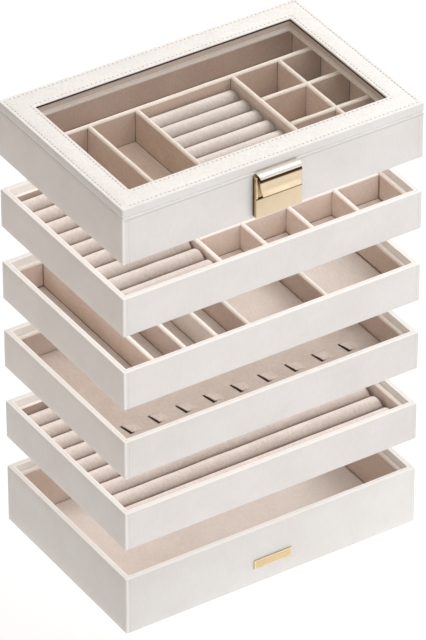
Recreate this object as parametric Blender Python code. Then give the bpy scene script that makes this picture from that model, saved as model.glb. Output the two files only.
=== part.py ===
"""Stackable jewelry box: a glass-lidded top tray and five open trays.

The trays are shown lifted apart on one vertical line, the way they come off
each other.  Units are metres, +Z up, the front of the box faces -Y, and the
origin is the centre of the underside of the bottom tray.
"""
import bpy
import bmesh
from math import asin, sin, cos, pi, radians, sqrt

MM = 0.001

# ------------------------------------------------------------ driving sizes
WIDTH = 280 * MM          # left to right
DEPTH = 184 * MM          # front to back
H_TRAY = 35.5 * MM        # the four shallow trays
H_DEEP = 54.5 * MM        # bottom tray
H_TOP = 42.7 * MM         # top tray, without its lid
LID_T = 7.8 * MM          # lid frame
GAP = 0.3 * MM            # clearance between pieces that touch

WALL = 5.2 * MM           # leather-covered wall
LINER_T = 3.0 * MM        # velvet-covered liner wall
RECESS = 6.5 * MM         # liner top below the rim
PLINTH_H = 4.0 * MM       # step under a tray, drops into the recess below
PLINTH_INSET = 6.0 * MM
BASE_T = 2.7 * MM         # bottom board
PAD_T = 1.5 * MM          # velvet floor pad
BASE_SHEET_T = 1.2 * MM   # sheet under the bottom tray
DIV_T = 4.0 * MM          # divider board with its velvet
DROP_ROLL = 4.3 * MM      # ring roll tops below the liner top, roll tray
DROP_GRID = 1.2 * MM      # the same in the grid tray
DROP_TOP = 8.0 * MM       # the same in the top tray
CORNER_R = 1.4 * MM

# heights of the trays' lower edges, lifted apart
Z_DEEP = BASE_SHEET_T + GAP
Z_ROLL = Z_DEEP + H_DEEP + 29.9 * MM
Z_NECK = Z_ROLL + H_TRAY + 34.8 * MM
Z_BRAC = Z_NECK + H_TRAY + 31.7 * MM
Z_GRID = Z_BRAC + H_TRAY + 34.4 * MM
Z_TOP = Z_GRID + H_TRAY + 32.5 * MM
Z_SEAM = Z_TOP + H_TOP                 # rim of the top tray
Z_LID = Z_SEAM + GAP                   # underside of the lid
Z_LID_TOP = Z_LID + LID_T

HX, HY = WIDTH / 2, DEPTH / 2
INNER_X = HX - WALL - GAP - LINER_T    # velvet face of the liner
INNER_Y = HY - WALL - GAP - LINER_T

# lid window
WIN_X = 119.5 * MM
WIN_Y = 69.0 * MM

# latch
LATCH_HALF = 21.3 * MM
EAR_T = 1.6 * MM
FLAP_AXIS_U = 4.2 * MM    # out from the front wall
FLAP_AXIS_Z = Z_LID_TOP - 13.4 * MM
PIN_R = 0.75 * MM

# rear hinges
HINGE_X = 75 * MM
HINGE_U = 2.6 * MM
HINGE_Z = Z_SEAM + GAP / 2
KNUCKLE_R = 2.2 * MM
HINGE_HALF = 14.0 * MM

# ------------------------------------------------------------ clean start
for old in list(bpy.data.objects):
    bpy.data.objects.remove(old, do_unlink=True)


# ------------------------------------------------------------ materials
def material(name, colour, rough, metal=0.0, alpha=1.0):
    m = bpy.data.materials.new(name)
    m.use_nodes = True
    b = m.node_tree.nodes["Principled BSDF"]
    b.inputs["Base Color"].default_value = (*colour, 1.0)
    b.inputs["Roughness"].default_value = rough
    b.inputs["Metallic"].default_value = metal
    b.inputs["Alpha"].default_value = alpha
    m.diffuse_color = (*colour, alpha)
    return m


LEATHER = material("white_leather", (0.86, 0.84, 0.82), 0.5)
VELVET = material("beige_velvet", (0.62, 0.51, 0.44), 0.95)
GOLD = material("pale_gold", (0.86, 0.71, 0.42), 0.22, 1.0)
GLASS = material("clear_glass", (0.9, 0.93, 0.92), 0.03, 0.0, 0.25)
SHEET = material("base_sheet", (0.55, 0.50, 0.46), 0.9)


# ------------------------------------------------------------ helpers
def finish(bm, name, mat, smooth=False, origin=None):
    bmesh.ops.recalc_face_normals(bm, faces=bm.faces)
    me = bpy.data.meshes.new(name)
    bm.to_mesh(me)
    bm.free()
    ob = bpy.data.objects.new(name, me)
    bpy.context.scene.collection.objects.link(ob)
    me.materials.append(mat)
    if smooth:
        me.shade_smooth()
        me.set_sharp_from_angle(angle=radians(35))
    if origin is not None:
        ox, oy, oz = origin
        for v in me.vertices:
            v.co.x -= ox
            v.co.y -= oy
            v.co.z -= oz
        ob.location = origin
    return ob


def rect_loop(hx, hy, z, r, n=3):
    """Points of a rounded rectangle, counter-clockwise."""
    pts = []
    for sx, sy, a0 in ((1, 1, 0), (-1, 1, 90), (-1, -1, 180), (1, -1, 270)):
        cx, cy = sx * (hx - r), sy * (hy - r)
        for i in range(n + 1):
            a = radians(a0 + 90 * i / n)
            pts.append((cx + r * cos(a), cy + r * sin(a), z))
    return pts


def loft(name, loops, mat, ring=False):
    """Skin a run of equal loops; a ring joins its last loop to its first."""
    bm = bmesh.new()
    rows = [[bm.verts.new(p) for p in lp] for lp in loops]
    n = len(rows[0])
    pairs = list(zip(rows[:-1], rows[1:]))
    if ring:
        pairs.append((rows[-1], rows[0]))
    for a, b in pairs:
        for i in range(n):
            j = (i + 1) % n
            bm.faces.new((a[i], a[j], b[j], b[i]))
    if not ring:
        bm.faces.new(rows[0][::-1])
        bm.faces.new(rows[-1])
    return finish(bm, name, mat)


def extrude_profile(name, pts, axis, lo, hi, mat, origin=None, smooth=False,
                    bevel_top=0.0, taper=None):
    """Extrude a closed outline.  axis X: outline is (y, z); axis Y: (x, z)."""
    bm = bmesh.new()

    def place(a, b, t):
        return (t, a, b) if axis == "X" else (a, t, b)

    def shrink(b):
        if taper is None:
            return 0.0
        z0, z1, amount = taper
        f = min(1.0, max(0.0, (z0 - b) / (z0 - z1)))
        return amount * f

    v0 = [bm.verts.new(place(a, b, lo + shrink(b))) for a, b in pts]
    v1 = [bm.verts.new(place(a, b, hi - shrink(b))) for a, b in pts]
    n = len(pts)
    bm.faces.new(v0)
    bm.faces.new(v1[::-1])
    for i in range(n):
        j = (i + 1) % n
        bm.faces.new((v0[i], v1[i], v1[j], v0[j]))
    if bevel_top > 0:
        top = max(p[1] for p in pts)
        ends = set(v0), set(v1)
        edges = [e for e in bm.edges
                 if all(abs(v.co.z - top) < 1e-6 for v in e.verts)
                 and (set(e.verts) <= ends[0] or set(e.verts) <= ends[1])]
        bmesh.ops.bevel(bm, geom=edges, offset=bevel_top, segments=2,
                        profile=0.5, affect='EDGES')
    return finish(bm, name, mat, smooth, origin)


def block(name, x0, x1, y0, y1, z0, z1, mat, bevel=0.0):
    bm = bmesh.new()
    bmesh.ops.create_cube(bm, size=1.0)
    for v in bm.verts:
        v.co.x = x0 if v.co.x < 0 else x1
        v.co.y = y0 if v.co.y < 0 else y1
        v.co.z = z0 if v.co.z < 0 else z1
    if bevel > 0:
        bmesh.ops.bevel(bm, geom=list(bm.edges), offset=bevel, segments=1,
                        profile=0.5, affect='EDGES')
    return finish(bm, name, mat)


def rod(name, r, x0, x1, y, z, mat, n=24, origin=None):
    """Round bar along X."""
    pts = [(y + r * cos(2 * pi * i / n), z + r * sin(2 * pi * i / n))
           for i in range(n)]
    return extrude_profile(name, pts, "X", x0, x1, mat, origin=origin,
                           smooth=True)


def boolean(target, tool, operation):
    mod = target.modifiers.new(operation, 'BOOLEAN')
    mod.operation = operation
    mod.solver = 'EXACT'
    mod.object = tool
    tool.hide_render = True
    tool.display_type = 'WIRE'
    return mod


# ------------------------------------------------------------ tray parts
def tray_case(name, z, h, plinth=True, base_t=BASE_T):
    """Leather-covered tray: walls, bottom board and the step under it."""
    r = CORNER_R
    lp = []
    if plinth:
        px, py = HX - PLINTH_INSET, HY - PLINTH_INSET
        lp.append(rect_loop(px - 0.5 * MM, py - 0.5 * MM, z - PLINTH_H, r))
        lp.append(rect_loop(px, py, z - PLINTH_H + 0.5 * MM, r))
        lp.append(rect_loop(px, py, z, r))
    lp.append(rect_loop(HX - 0.5 * MM, HY - 0.5 * MM, z, r))
    lp.append(rect_loop(HX, HY, z + 0.5 * MM, r))
    lp.append(rect_loop(HX, HY, z + h - 0.8 * MM, r))
    lp.append(rect_loop(HX - 0.8 * MM, HY - 0.8 * MM, z + h, r * 0.8))
    lp.append(rect_loop(HX - WALL + 0.6 * MM, HY - WALL + 0.6 * MM, z + h,
                        0.6 * MM))
    lp.append(rect_loop(HX - WALL, HY - WALL, z + h - 0.6 * MM, 0.5 * MM))
    lp.append(rect_loop(HX - WALL, HY - WALL, z + base_t, 0.5 * MM))
    return loft(name, lp, LEATHER)


def tray_liner(name, z, h, base_t=BASE_T):
    """Velvet-covered liner frame standing inside the case."""
    ox, oy = HX - WALL - GAP, HY - WALL - GAP
    z0, z1 = z + base_t + GAP, z + h - RECESS
    e = 1.2 * MM
    lp = [
        rect_loop(ox, oy, z0, 0.5 * MM, 2),
        rect_loop(ox, oy, z1 - e, 0.5 * MM, 2),
        rect_loop(ox - 0.3 * e, oy - 0.3 * e, z1 - 0.3 * e, 0.5 * MM, 2),
        rect_loop(ox - e, oy - e, z1, 0.5 * MM, 2),
        rect_loop(INNER_X + e, INNER_Y + e, z1, 0.5 * MM, 2),
        rect_loop(INNER_X + 0.3 * e, INNER_Y + 0.3 * e, z1 - 0.3 * e,
                  0.5 * MM, 2),
        rect_loop(INNER_X, INNER_Y, z1 - e, 0.5 * MM, 2),
        rect_loop(INNER_X, INNER_Y, z0, 0.5 * MM, 2),
    ]
    return loft(name, lp, VELVET, ring=True)


def tray_floor(name, z, base_t=BASE_T, pad_t=PAD_T):
    """Velvet floor pad; returns the pad and the height of its upper face."""
    px, py = INNER_X - GAP, INNER_Y - GAP
    z0 = z + base_t + GAP
    z1 = z0 + pad_t
    lp = [
        rect_loop(px, py, z0, 0.5 * MM, 2),
        rect_loop(px, py, z1 - 0.4 * MM, 0.5 * MM, 2),
        rect_loop(px - 0.4 * MM, py - 0.4 * MM, z1, 0.5 * MM, 2),
    ]
    return loft(name, lp, VELVET), z1


def notched(lo, hi, z0, z1, slots_top=(), slots_bottom=()):
    """Outline of a board seen from its side, with half-lap slots."""
    half = DIV_T / 2 + GAP
    mid = (z0 + z1) / 2
    pts = [(lo, z0)]
    for c in sorted(slots_bottom):
        pts += [(c - half, z0), (c - half, mid + GAP / 2),
                (c + half, mid + GAP / 2), (c + half, z0)]
    pts += [(hi, z0), (hi, z1)]
    for c in sorted(slots_top, reverse=True):
        pts += [(c + half, z1), (c + half, mid - GAP / 2),
                (c - half, mid - GAP / 2), (c - half, z1)]
    pts += [(lo, z1)]
    return pts


def board_y(name, x, y0, y1, z0, z1, slots=()):
    """Divider running front to back; its slots open upwards."""
    return extrude_profile(name, notched(y0, y1, z0, z1, slots_top=slots),
                           "X", x - DIV_T / 2, x + DIV_T / 2, VELVET,
                           bevel_top=1.3 * MM)


def board_x(name, y, x0, x1, z0, z1, slots=()):
    """Divider running left to right; its slots open downwards."""
    return extrude_profile(name, notched(x0, x1, z0, z1, slots_bottom=slots),
                           "Y", y - DIV_T / 2, y + DIV_T / 2, VELVET,
                           bevel_top=1.3 * MM)


def ring_rolls(name, x0, x1, y0, y1, z_floor, z_top, count, seg=8):
    """Velvet-covered foam rolls side by side on one base, joined at the
    creases; the slots for the rings are the creases."""
    pitch = (y1 - y0) / count
    r = pitch / 2 + 0.1 * MM
    zc = z_top - r
    a_side = asin(sqrt(r * r - (pitch / 2) ** 2) / r)
    pts = [(y0, z_floor + GAP), (y1, z_floor + GAP)]
    for k in range(count - 1, -1, -1):
        yc = y0 + (k + 0.5) * pitch
        for i in range(seg + 1):
            a = a_side + (pi - 2 * a_side) * i / seg
            if i == seg and k > 0:
                continue
            pts.append((yc + r * cos(a), zc + r * sin(a)))
    return extrude_profile(name, pts, "X", x0, x1, VELVET, smooth=True)


# ------------------------------------------------------------ deep tray
tray_case("deep_case", Z_DEEP, H_DEEP, plinth=False)
tray_liner("deep_liner", Z_DEEP, H_DEEP)
tray_floor("deep_floor", Z_DEEP)
loft("deep_base_sheet", [
    rect_loop(HX - 4 * MM, HY - 4 * MM, 0.0, 1 * MM, 2),
    rect_loop(HX - 4 * MM, HY - 4 * MM, BASE_SHEET_T, 1 * MM, 2)], SHEET)
PLATE_Z = Z_DEEP + H_DEEP - 34.5 * MM
block("deep_nameplate", -18.2 * MM, 18.2 * MM, -HY - GAP - 1.0 * MM, -HY - GAP,
      PLATE_Z - 4.3 * MM, PLATE_Z + 4.3 * MM, GOLD, bevel=0.25 * MM)

# ------------------------------------------------------------ roll tray
tray_case("roll_case", Z_ROLL, H_TRAY)
tray_liner("roll_liner", Z_ROLL, H_TRAY)
pad, zf = tray_floor("roll_floor", Z_ROLL)
ring_rolls("roll_ring_rolls", -INNER_X + 1.0 * MM, INNER_X - 5.0 * MM,
           -INNER_Y + GAP, INNER_Y - GAP, zf,
           Z_ROLL + H_TRAY - RECESS - DROP_ROLL, 9)

# ------------------------------------------------------------ necklace tray
tray_case("necklace_case", Z_NECK, H_TRAY)
tray_liner("necklace_liner", Z_NECK, H_TRAY)
pad, zf = tray_floor("necklace_floor", Z_NECK, pad_t=2.0 * MM)
TAB_COUNT = 9
TAB_PITCH = 26.05 * MM
TAB_L = 10.0 * MM
TAB_W = 11.0 * MM
TAB_RISE = 2.6 * MM
TAB_X = -HX + 33.0 * MM   # left end of the first tab
TAB_Y = -HY + 50.0 * MM
s0 = Z_NECK + BASE_T + GAP
s1 = zf
strip_lo = TAB_X - 4 * MM
strip_hi = TAB_X + (TAB_COUNT - 1) * TAB_PITCH + TAB_L + 6 * MM
window = block("strip_window_cutter", strip_lo - GAP, strip_hi + GAP,
               TAB_Y - TAB_W / 2 - GAP, TAB_Y + TAB_W / 2 + GAP,
               s0 - 3 * MM, zf + 3 * MM, VELVET)
boolean(pad, window, 'DIFFERENCE')
outline = [(strip_lo, s0), (strip_hi, s0), (strip_hi, s1)]
for k in range(TAB_COUNT - 1, -1, -1):
    xl = TAB_X + k * TAB_PITCH
    xr = xl + TAB_L
    outline += [(xr + 1.2 * MM, s1),
                (xr - 1.0 * MM, s1 + 1.3 * MM),
                (xl, s1 + TAB_RISE),
                (xl - 0.3 * MM, s1 + TAB_RISE - 1.1 * MM),
                (xr - 1.6 * MM, s1)]
outline += [(strip_lo, s1)]
extrude_profile("necklace_hook_strip", outline, "Y", TAB_Y - TAB_W / 2,
                TAB_Y + TAB_W / 2, VELVET)

# ------------------------------------------------------------ bracelet tray
tray_case("bracelet_case", Z_BRAC, H_TRAY)
tray_liner("bracelet_liner", Z_BRAC, H_TRAY)
pad, zf = tray_floor("bracelet_floor", Z_BRAC)
BRAC_X = [35.3, 65.0, 94.5, 124.6, 198.3]
for i, x in enumerate(BRAC_X):
    board_y("bracelet_divider_%d" % (i + 1), -HX + x * MM, -INNER_Y + GAP,
            INNER_Y - GAP, zf + GAP, Z_BRAC + H_TRAY - RECESS)

# ------------------------------------------------------------ grid tray
tray_case("grid_case", Z_GRID, H_TRAY)
tray_liner("grid_liner", Z_GRID, H_TRAY)
pad, zf = tray_floor("grid_floor", Z_GRID)
GRID_X = [-HX + v * MM for v in (98.7, 141.0, 184.5, 228.2)]
GRID_Y = [-INNER_Y + 2 * INNER_Y * k / 4 for k in (1, 2, 3)]
zt = Z_GRID + H_TRAY - RECESS
for i, x in enumerate(GRID_X):
    board_y("grid_divider_%d" % (i + 1), x, -INNER_Y + GAP, INNER_Y - GAP,
            zf + GAP, zt, slots=() if i == 0 else GRID_Y)
for i, y in enumerate(GRID_Y):
    board_x("grid_row_%d" % (i + 1), y, GRID_X[0] + DIV_T / 2 + GAP,
            INNER_X - GAP, zf + GAP, zt, slots=GRID_X[1:])
ring_rolls("grid_ring_rolls", -INNER_X + GAP, GRID_X[0] - DIV_T / 2 - 3.2 * MM,
           -INNER_Y + GAP, INNER_Y - GAP, zf, zt - DROP_GRID, 9)

# ------------------------------------------------------------ top tray
TOP_BASE = 4.0 * MM
case = tray_case("top_case", Z_TOP, H_TOP, base_t=TOP_BASE)
notch = block("notch_cutter", -20.0 * MM, 20.0 * MM,
              -HY - 3 * MM, -HY + WALL + 2 * MM,
              Z_SEAM - 1.6 * MM, Z_SEAM + 3 * MM, GOLD)
boolean(case, notch, 'DIFFERENCE')
tray_liner("top_liner", Z_TOP, H_TOP, base_t=TOP_BASE)
pad, zf = tray_floor("top_floor", Z_TOP, base_t=TOP_BASE, pad_t=2.0 * MM)
zt = Z_SEAM - RECESS
LONG_Y = -HY + 135.5 * MM
ROW_Y = [-HY + v * MM for v in (52.3, 94.0)]
DIV_X = [-HX + v * MM for v in (53.4, 97.5, 187.2, 231.5)]
TOP_PITCH = 17.3 * MM     # ring rolls, counted from the long divider
board_x("top_long_divider", LONG_Y, -INNER_X + GAP, INNER_X - GAP,
        zf + GAP, zt)
for i, x in enumerate(DIV_X):
    board_y("top_divider_%d" % (i + 1), x, -INNER_Y + GAP,
            LONG_Y - DIV_T / 2 - GAP, zf + GAP, zt,
            slots=ROW_Y if i == 3 else ())
for i, y in enumerate(ROW_Y):
    board_x("top_row_%d" % (i + 1), y, DIV_X[2] + DIV_T / 2 + GAP,
            INNER_X - GAP, zf + GAP, zt, slots=[DIV_X[3]])
ring_rolls("top_ring_rolls", DIV_X[1] + DIV_T / 2 + GAP,
           DIV_X[2] - DIV_T / 2 - 2.0 * MM,
           LONG_Y - DIV_T / 2 - GAP - 7 * TOP_PITCH,
           LONG_Y - DIV_T / 2 - GAP, zf, zt - DROP_TOP, 7)

# ------------------------------------------------------------ lid
hinge_empty = bpy.data.objects.new("lid_axis", None)
hinge_empty.location = (0, HY + HINGE_U, HINGE_Z)
bpy.context.scene.collection.objects.link(hinge_empty)

LIP = 1.2 * MM            # leather lip over the glass
GLASS_T = 2.0 * MM
RABBET = 4.5 * MM         # ledge the glass sits under
SKIRT = 3.0 * MM          # inner frame below the lid
r = CORNER_R
z0, z1 = Z_LID, Z_LID_TOP
lid_frame = loft("lid_frame", [
    rect_loop(HX - 0.5 * MM, HY - 0.5 * MM, z0, r),
    rect_loop(HX, HY, z0 + 0.5 * MM, r),
    rect_loop(HX, HY, z1 - 0.9 * MM, r),
    rect_loop(HX - 0.9 * MM, HY - 0.9 * MM, z1, r * 0.8),
    rect_loop(WIN_X + 0.5 * MM, WIN_Y + 0.5 * MM, z1, 0.6 * MM),
    rect_loop(WIN_X, WIN_Y, z1 - 0.5 * MM, 0.5 * MM),
    rect_loop(WIN_X, WIN_Y, z1 - LIP, 0.5 * MM),
    rect_loop(WIN_X + RABBET, WIN_Y + RABBET, z1 - LIP, 0.5 * MM),
    rect_loop(WIN_X + RABBET, WIN_Y + RABBET, z0, 0.5 * MM),
], LEATHER, ring=True)

g1 = z1 - LIP - GAP
g0 = g1 - GLASS_T
glass = block("lid_glass", -(WIN_X + RABBET - GAP), WIN_X + RABBET - GAP,
              -(WIN_Y + RABBET - GAP), WIN_Y + RABBET - GAP, g0, g1, GLASS,
              bevel=0.2 * MM)

f1 = g0 - GAP
fx, fy = WIN_X - 0.6 * MM, WIN_Y - 0.6 * MM
sx, sy = HX - PLINTH_INSET, HY - PLINTH_INSET
lid_inner = loft("lid_inner_frame", [
    rect_loop(WIN_X + RABBET - GAP, WIN_Y + RABBET - GAP, f1, 0.5 * MM, 2),
    rect_loop(fx, fy, f1, 0.5 * MM, 2),
    rect_loop(fx, fy, z0 - SKIRT + 2.0 * MM, 0.5 * MM, 2),
    rect_loop(fx - 1.2 * MM, fy - 1.2 * MM, z0 - SKIRT + 1.3 * MM, 0.5 * MM, 2),
    rect_loop(fx - 1.4 * MM, fy - 1.4 * MM, z0 - SKIRT, 0.5 * MM, 2),
    rect_loop(sx, sy, z0 - SKIRT, 0.8 * MM, 2),
    rect_loop(sx, sy, z0 - GAP, 0.8 * MM, 2),
    rect_loop(WIN_X + RABBET - GAP, WIN_Y + RABBET - GAP, z0 - GAP,
              0.5 * MM, 2),
], VELVET, ring=True)


# ------------------------------------------------------------ latch
def strip_outline(path, t):
    """Outline of a bent strip of thickness t around a (y, z) centre line."""
    left, right = [], []
    n = len(path)
    for i, (a, b) in enumerate(path):
        p = path[max(i - 1, 0)]
        q = path[min(i + 1, n - 1)]
        dy, dz = q[0] - p[0], q[1] - p[1]
        m = sqrt(dy * dy + dz * dz)
        ny, nz = -dz / m, dy / m
        left.append((a + ny * t / 2, b + nz * t / 2))
        right.append((a - ny * t / 2, b - nz * t / 2))
    return left + right[::-1]


def front(u):
    return -HY - u


def bend(points, n=4):
    """Smooth run through (out, down from the lid's top) points, in mm."""
    out = []
    last = len(points) - 1
    for i in range(last):
        p0 = points[max(i - 1, 0)]
        p1, p2 = points[i], points[i + 1]
        p3 = points[min(i + 2, last)]
        for k in range(n):
            t = k / n
            out.append(tuple(
                0.5 * (2 * p1[c] + (p2[c] - p0[c]) * t
                       + (2 * p0[c] - 5 * p1[c] + 4 * p2[c] - p3[c]) * t ** 2
                       + (3 * p1[c] - p0[c] - 3 * p2[c] + p3[c]) * t ** 3)
                for c in (0, 1)))
    out.append(points[-1])
    return [(front(u * MM), Z_LID_TOP - d * MM) for u, d in out]


# base: a plate with a thick lower half and an ear at each side
LATCH_BOTTOM = Z_LID_TOP - 47.6 * MM
LATCH_STEP = Z_LID_TOP - 29.0 * MM
LATCH_TOP = Z_LID_TOP - 10.6 * MM
BASE_OUT = 5.7 * MM
base = block("latch_base", -LATCH_HALF, LATCH_HALF, front(BASE_OUT),
             front(GAP), LATCH_BOTTOM, LATCH_TOP, GOLD, bevel=0.3 * MM)
pocket = block("pocket_cutter", -LATCH_HALF + EAR_T, LATCH_HALF - EAR_T,
               front(BASE_OUT + 5 * MM), front(1.4 * MM),
               LATCH_STEP, LATCH_TOP + 5 * MM, GOLD)
boolean(base, pocket, 'DIFFERENCE')
pin_hole = rod("pin_hole_cutter", PIN_R + 0.08 * MM, -LATCH_HALF - 5 * MM,
               LATCH_HALF + 5 * MM, front(FLAP_AXIS_U), FLAP_AXIS_Z, GOLD,
               n=20)
boolean(base, pin_hole, 'DIFFERENCE')
rod("latch_pin", PIN_R, -LATCH_HALF, LATCH_HALF, front(FLAP_AXIS_U),
    FLAP_AXIS_Z, GOLD, n=20)

# flap: a bent sheet in front of the ears, hung on a tube around the pin
FLAP_TOP_HALF = 19.4 * MM
FLAP_TAPER = 2.0 * MM
TUBE_HALF = LATCH_HALF - EAR_T - GAP
TUBE_R = 1.7 * MM
FLAP_T = 0.9 * MM
flap_origin = (0, front(FLAP_AXIS_U), FLAP_AXIS_Z)
flap_path = bend([(6.4, 11.9), (7.3, 12.2), (8.0, 13.2), (8.0, 15.2),
                  (7.75, 17.5), (7.6, 19.5), (7.8, 21.5), (8.5, 23.6),
                  (10.1, 26.4)], 2)
flap = extrude_profile("latch_flap", strip_outline(flap_path, FLAP_T), "X",
                       -FLAP_TOP_HALF, FLAP_TOP_HALF, GOLD,
                       origin=flap_origin, smooth=True,
                       taper=(Z_LID_TOP - 13 * MM, Z_LID_TOP - 26.4 * MM,
                              FLAP_TAPER))
tube = rod("flap_tube_cutter", TUBE_R, -TUBE_HALF, TUBE_HALF,
           front(FLAP_AXIS_U), FLAP_AXIS_Z, GOLD, n=24)
web = block("flap_web_cutter", -TUBE_HALF, TUBE_HALF, front(6.9 * MM),
            front(4.4 * MM), FLAP_AXIS_Z + 0.85 * MM, FLAP_AXIS_Z + 1.55 * MM,
            GOLD)
boolean(flap, web, 'UNION')
boolean(flap, tube, 'UNION')
bore = rod("flap_bore_cutter", PIN_R + 0.08 * MM, -TUBE_HALF - 5 * MM,
           TUBE_HALF + 5 * MM, front(FLAP_AXIS_U), FLAP_AXIS_Z, GOLD, n=20)
boolean(flap, bore, 'DIFFERENCE')

# catch: a tongue fixed under the lid that comes out over the flap
CATCH_HALF = 19.3 * MM
CATCH_T = 1.1 * MM
TONGUE_Z = Z_LID - GAP - CATCH_T / 2
catch_path = [(front(-4.5 * MM), TONGUE_Z), (front(0.0), TONGUE_Z),
              (front(5.2 * MM), TONGUE_Z)]
for i in range(1, 7):
    a = radians(56) * i / 6
    catch_path.append((front(5.2 * MM + 4.6 * MM * sin(a)),
                       TONGUE_Z - 4.6 * MM * (1 - cos(a))))
lid_catch = extrude_profile("lid_catch", strip_outline(catch_path, CATCH_T),
                            "X", -CATCH_HALF, CATCH_HALF, GOLD, smooth=True)


# ------------------------------------------------------------ rear hinges
def hinge(side, cx):
    """Butt hinge on the rear face: two leaves and a pin."""
    yc, zc = HY + HINGE_U, HINGE_Z
    seg = 2 * HINGE_HALF / 5
    clear = 0.15 * MM
    plate0, plate1 = HY + GAP, HY + GAP + 1.0 * MM
    hole = rod("hinge_%s_bore_cutter" % side, 0.98 * MM,
               cx - HINGE_HALF - 5 * MM, cx + HINGE_HALF + 5 * MM, yc, zc,
               GOLD, n=20)

    def leaf(name, up, which):
        body = block(name, cx - HINGE_HALF, cx + HINGE_HALF, plate0, plate1,
                     *((zc + 2.45 * MM, zc + 6.2 * MM) if up
                       else (zc - 13.0 * MM, zc - 2.45 * MM)), GOLD)
        for k in which:
            a = cx - HINGE_HALF + k * seg + (clear if k > 0 else 0)
            b = cx - HINGE_HALF + (k + 1) * seg - (clear if k < 4 else 0)
            kn = rod("%s_knuckle_cutter_%d" % (name, k), KNUCKLE_R, a, b, yc,
                     zc, GOLD, n=24)
            web = block("%s_web_cutter_%d" % (name, k), a, b, plate0 + 0.05 * MM,
                        plate1 - 0.05 * MM,
                        *((zc + 0.3 * MM, zc + 4.0 * MM) if up
                          else (zc - 4.0 * MM, zc - 0.3 * MM)), GOLD)
            boolean(body, web, 'UNION')
            boolean(body, kn, 'UNION')
        boolean(body, hole, 'DIFFERENCE')
        return body

    leaf("hinge_%s_box_leaf" % side, False, (0, 2, 4))
    lid_leaf = leaf("hinge_%s_lid_leaf" % side, True, (1, 3))
    rod("hinge_%s_pin" % side, 0.9 * MM, cx - HINGE_HALF, cx + HINGE_HALF,
        yc, zc, GOLD, n=20)
    return lid_leaf


lid_leaves = [hinge("left", -HINGE_X), hinge("right", HINGE_X)]

for ob in [lid_frame, glass, lid_inner, lid_catch] + lid_leaves:
    ob.parent = hinge_empty
    ob.matrix_parent_inverse = hinge_empty.matrix_basis.inverted()
bpy.context.view_layer.update()
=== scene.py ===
import math
import bmesh
import bpy
from mathutils import Matrix, Vector, noise


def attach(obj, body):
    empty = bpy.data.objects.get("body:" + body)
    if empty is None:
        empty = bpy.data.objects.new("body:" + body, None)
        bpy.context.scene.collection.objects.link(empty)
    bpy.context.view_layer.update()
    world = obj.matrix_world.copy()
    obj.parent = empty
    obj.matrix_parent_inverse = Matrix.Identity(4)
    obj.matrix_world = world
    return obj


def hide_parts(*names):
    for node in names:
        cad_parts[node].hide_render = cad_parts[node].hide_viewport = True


noise.seed_set(11)      # noise_vector is seeded by the clock otherwise

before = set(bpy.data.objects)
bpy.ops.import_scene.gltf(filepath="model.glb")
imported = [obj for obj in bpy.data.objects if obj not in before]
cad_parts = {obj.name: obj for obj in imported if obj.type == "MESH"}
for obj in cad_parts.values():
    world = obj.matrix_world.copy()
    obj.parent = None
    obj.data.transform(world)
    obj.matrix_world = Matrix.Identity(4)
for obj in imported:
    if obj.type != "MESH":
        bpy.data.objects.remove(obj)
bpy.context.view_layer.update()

MM = 0.001
HX, HY = 0.140, 0.092
H_TRAY, H_DEEP, H_TOP, LID_T = 35.5, 54.5, 42.7, 7.8
GAP, WALL, LINER_T, RECESS, DIV_T = 0.3, 5.2, 3.0, 6.5, 4.0
Z_DEEP = 1.5
Z_ROLL = Z_DEEP + H_DEEP + 29.9
Z_NECK = Z_ROLL + H_TRAY + 34.8
Z_BRAC = Z_NECK + H_TRAY + 31.7
Z_GRID = Z_BRAC + H_TRAY + 34.4
Z_TOP = Z_GRID + H_TRAY + 32.5
Z_SEAM = Z_TOP + H_TOP
Z_LID = Z_SEAM + GAP
Z_LT = Z_LID + LID_T
INX = 140 - WALL - GAP - LINER_T
INY = 92 - WALL - GAP - LINER_T
WIN_X, WIN_Y = 119.5, 69.0


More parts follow.
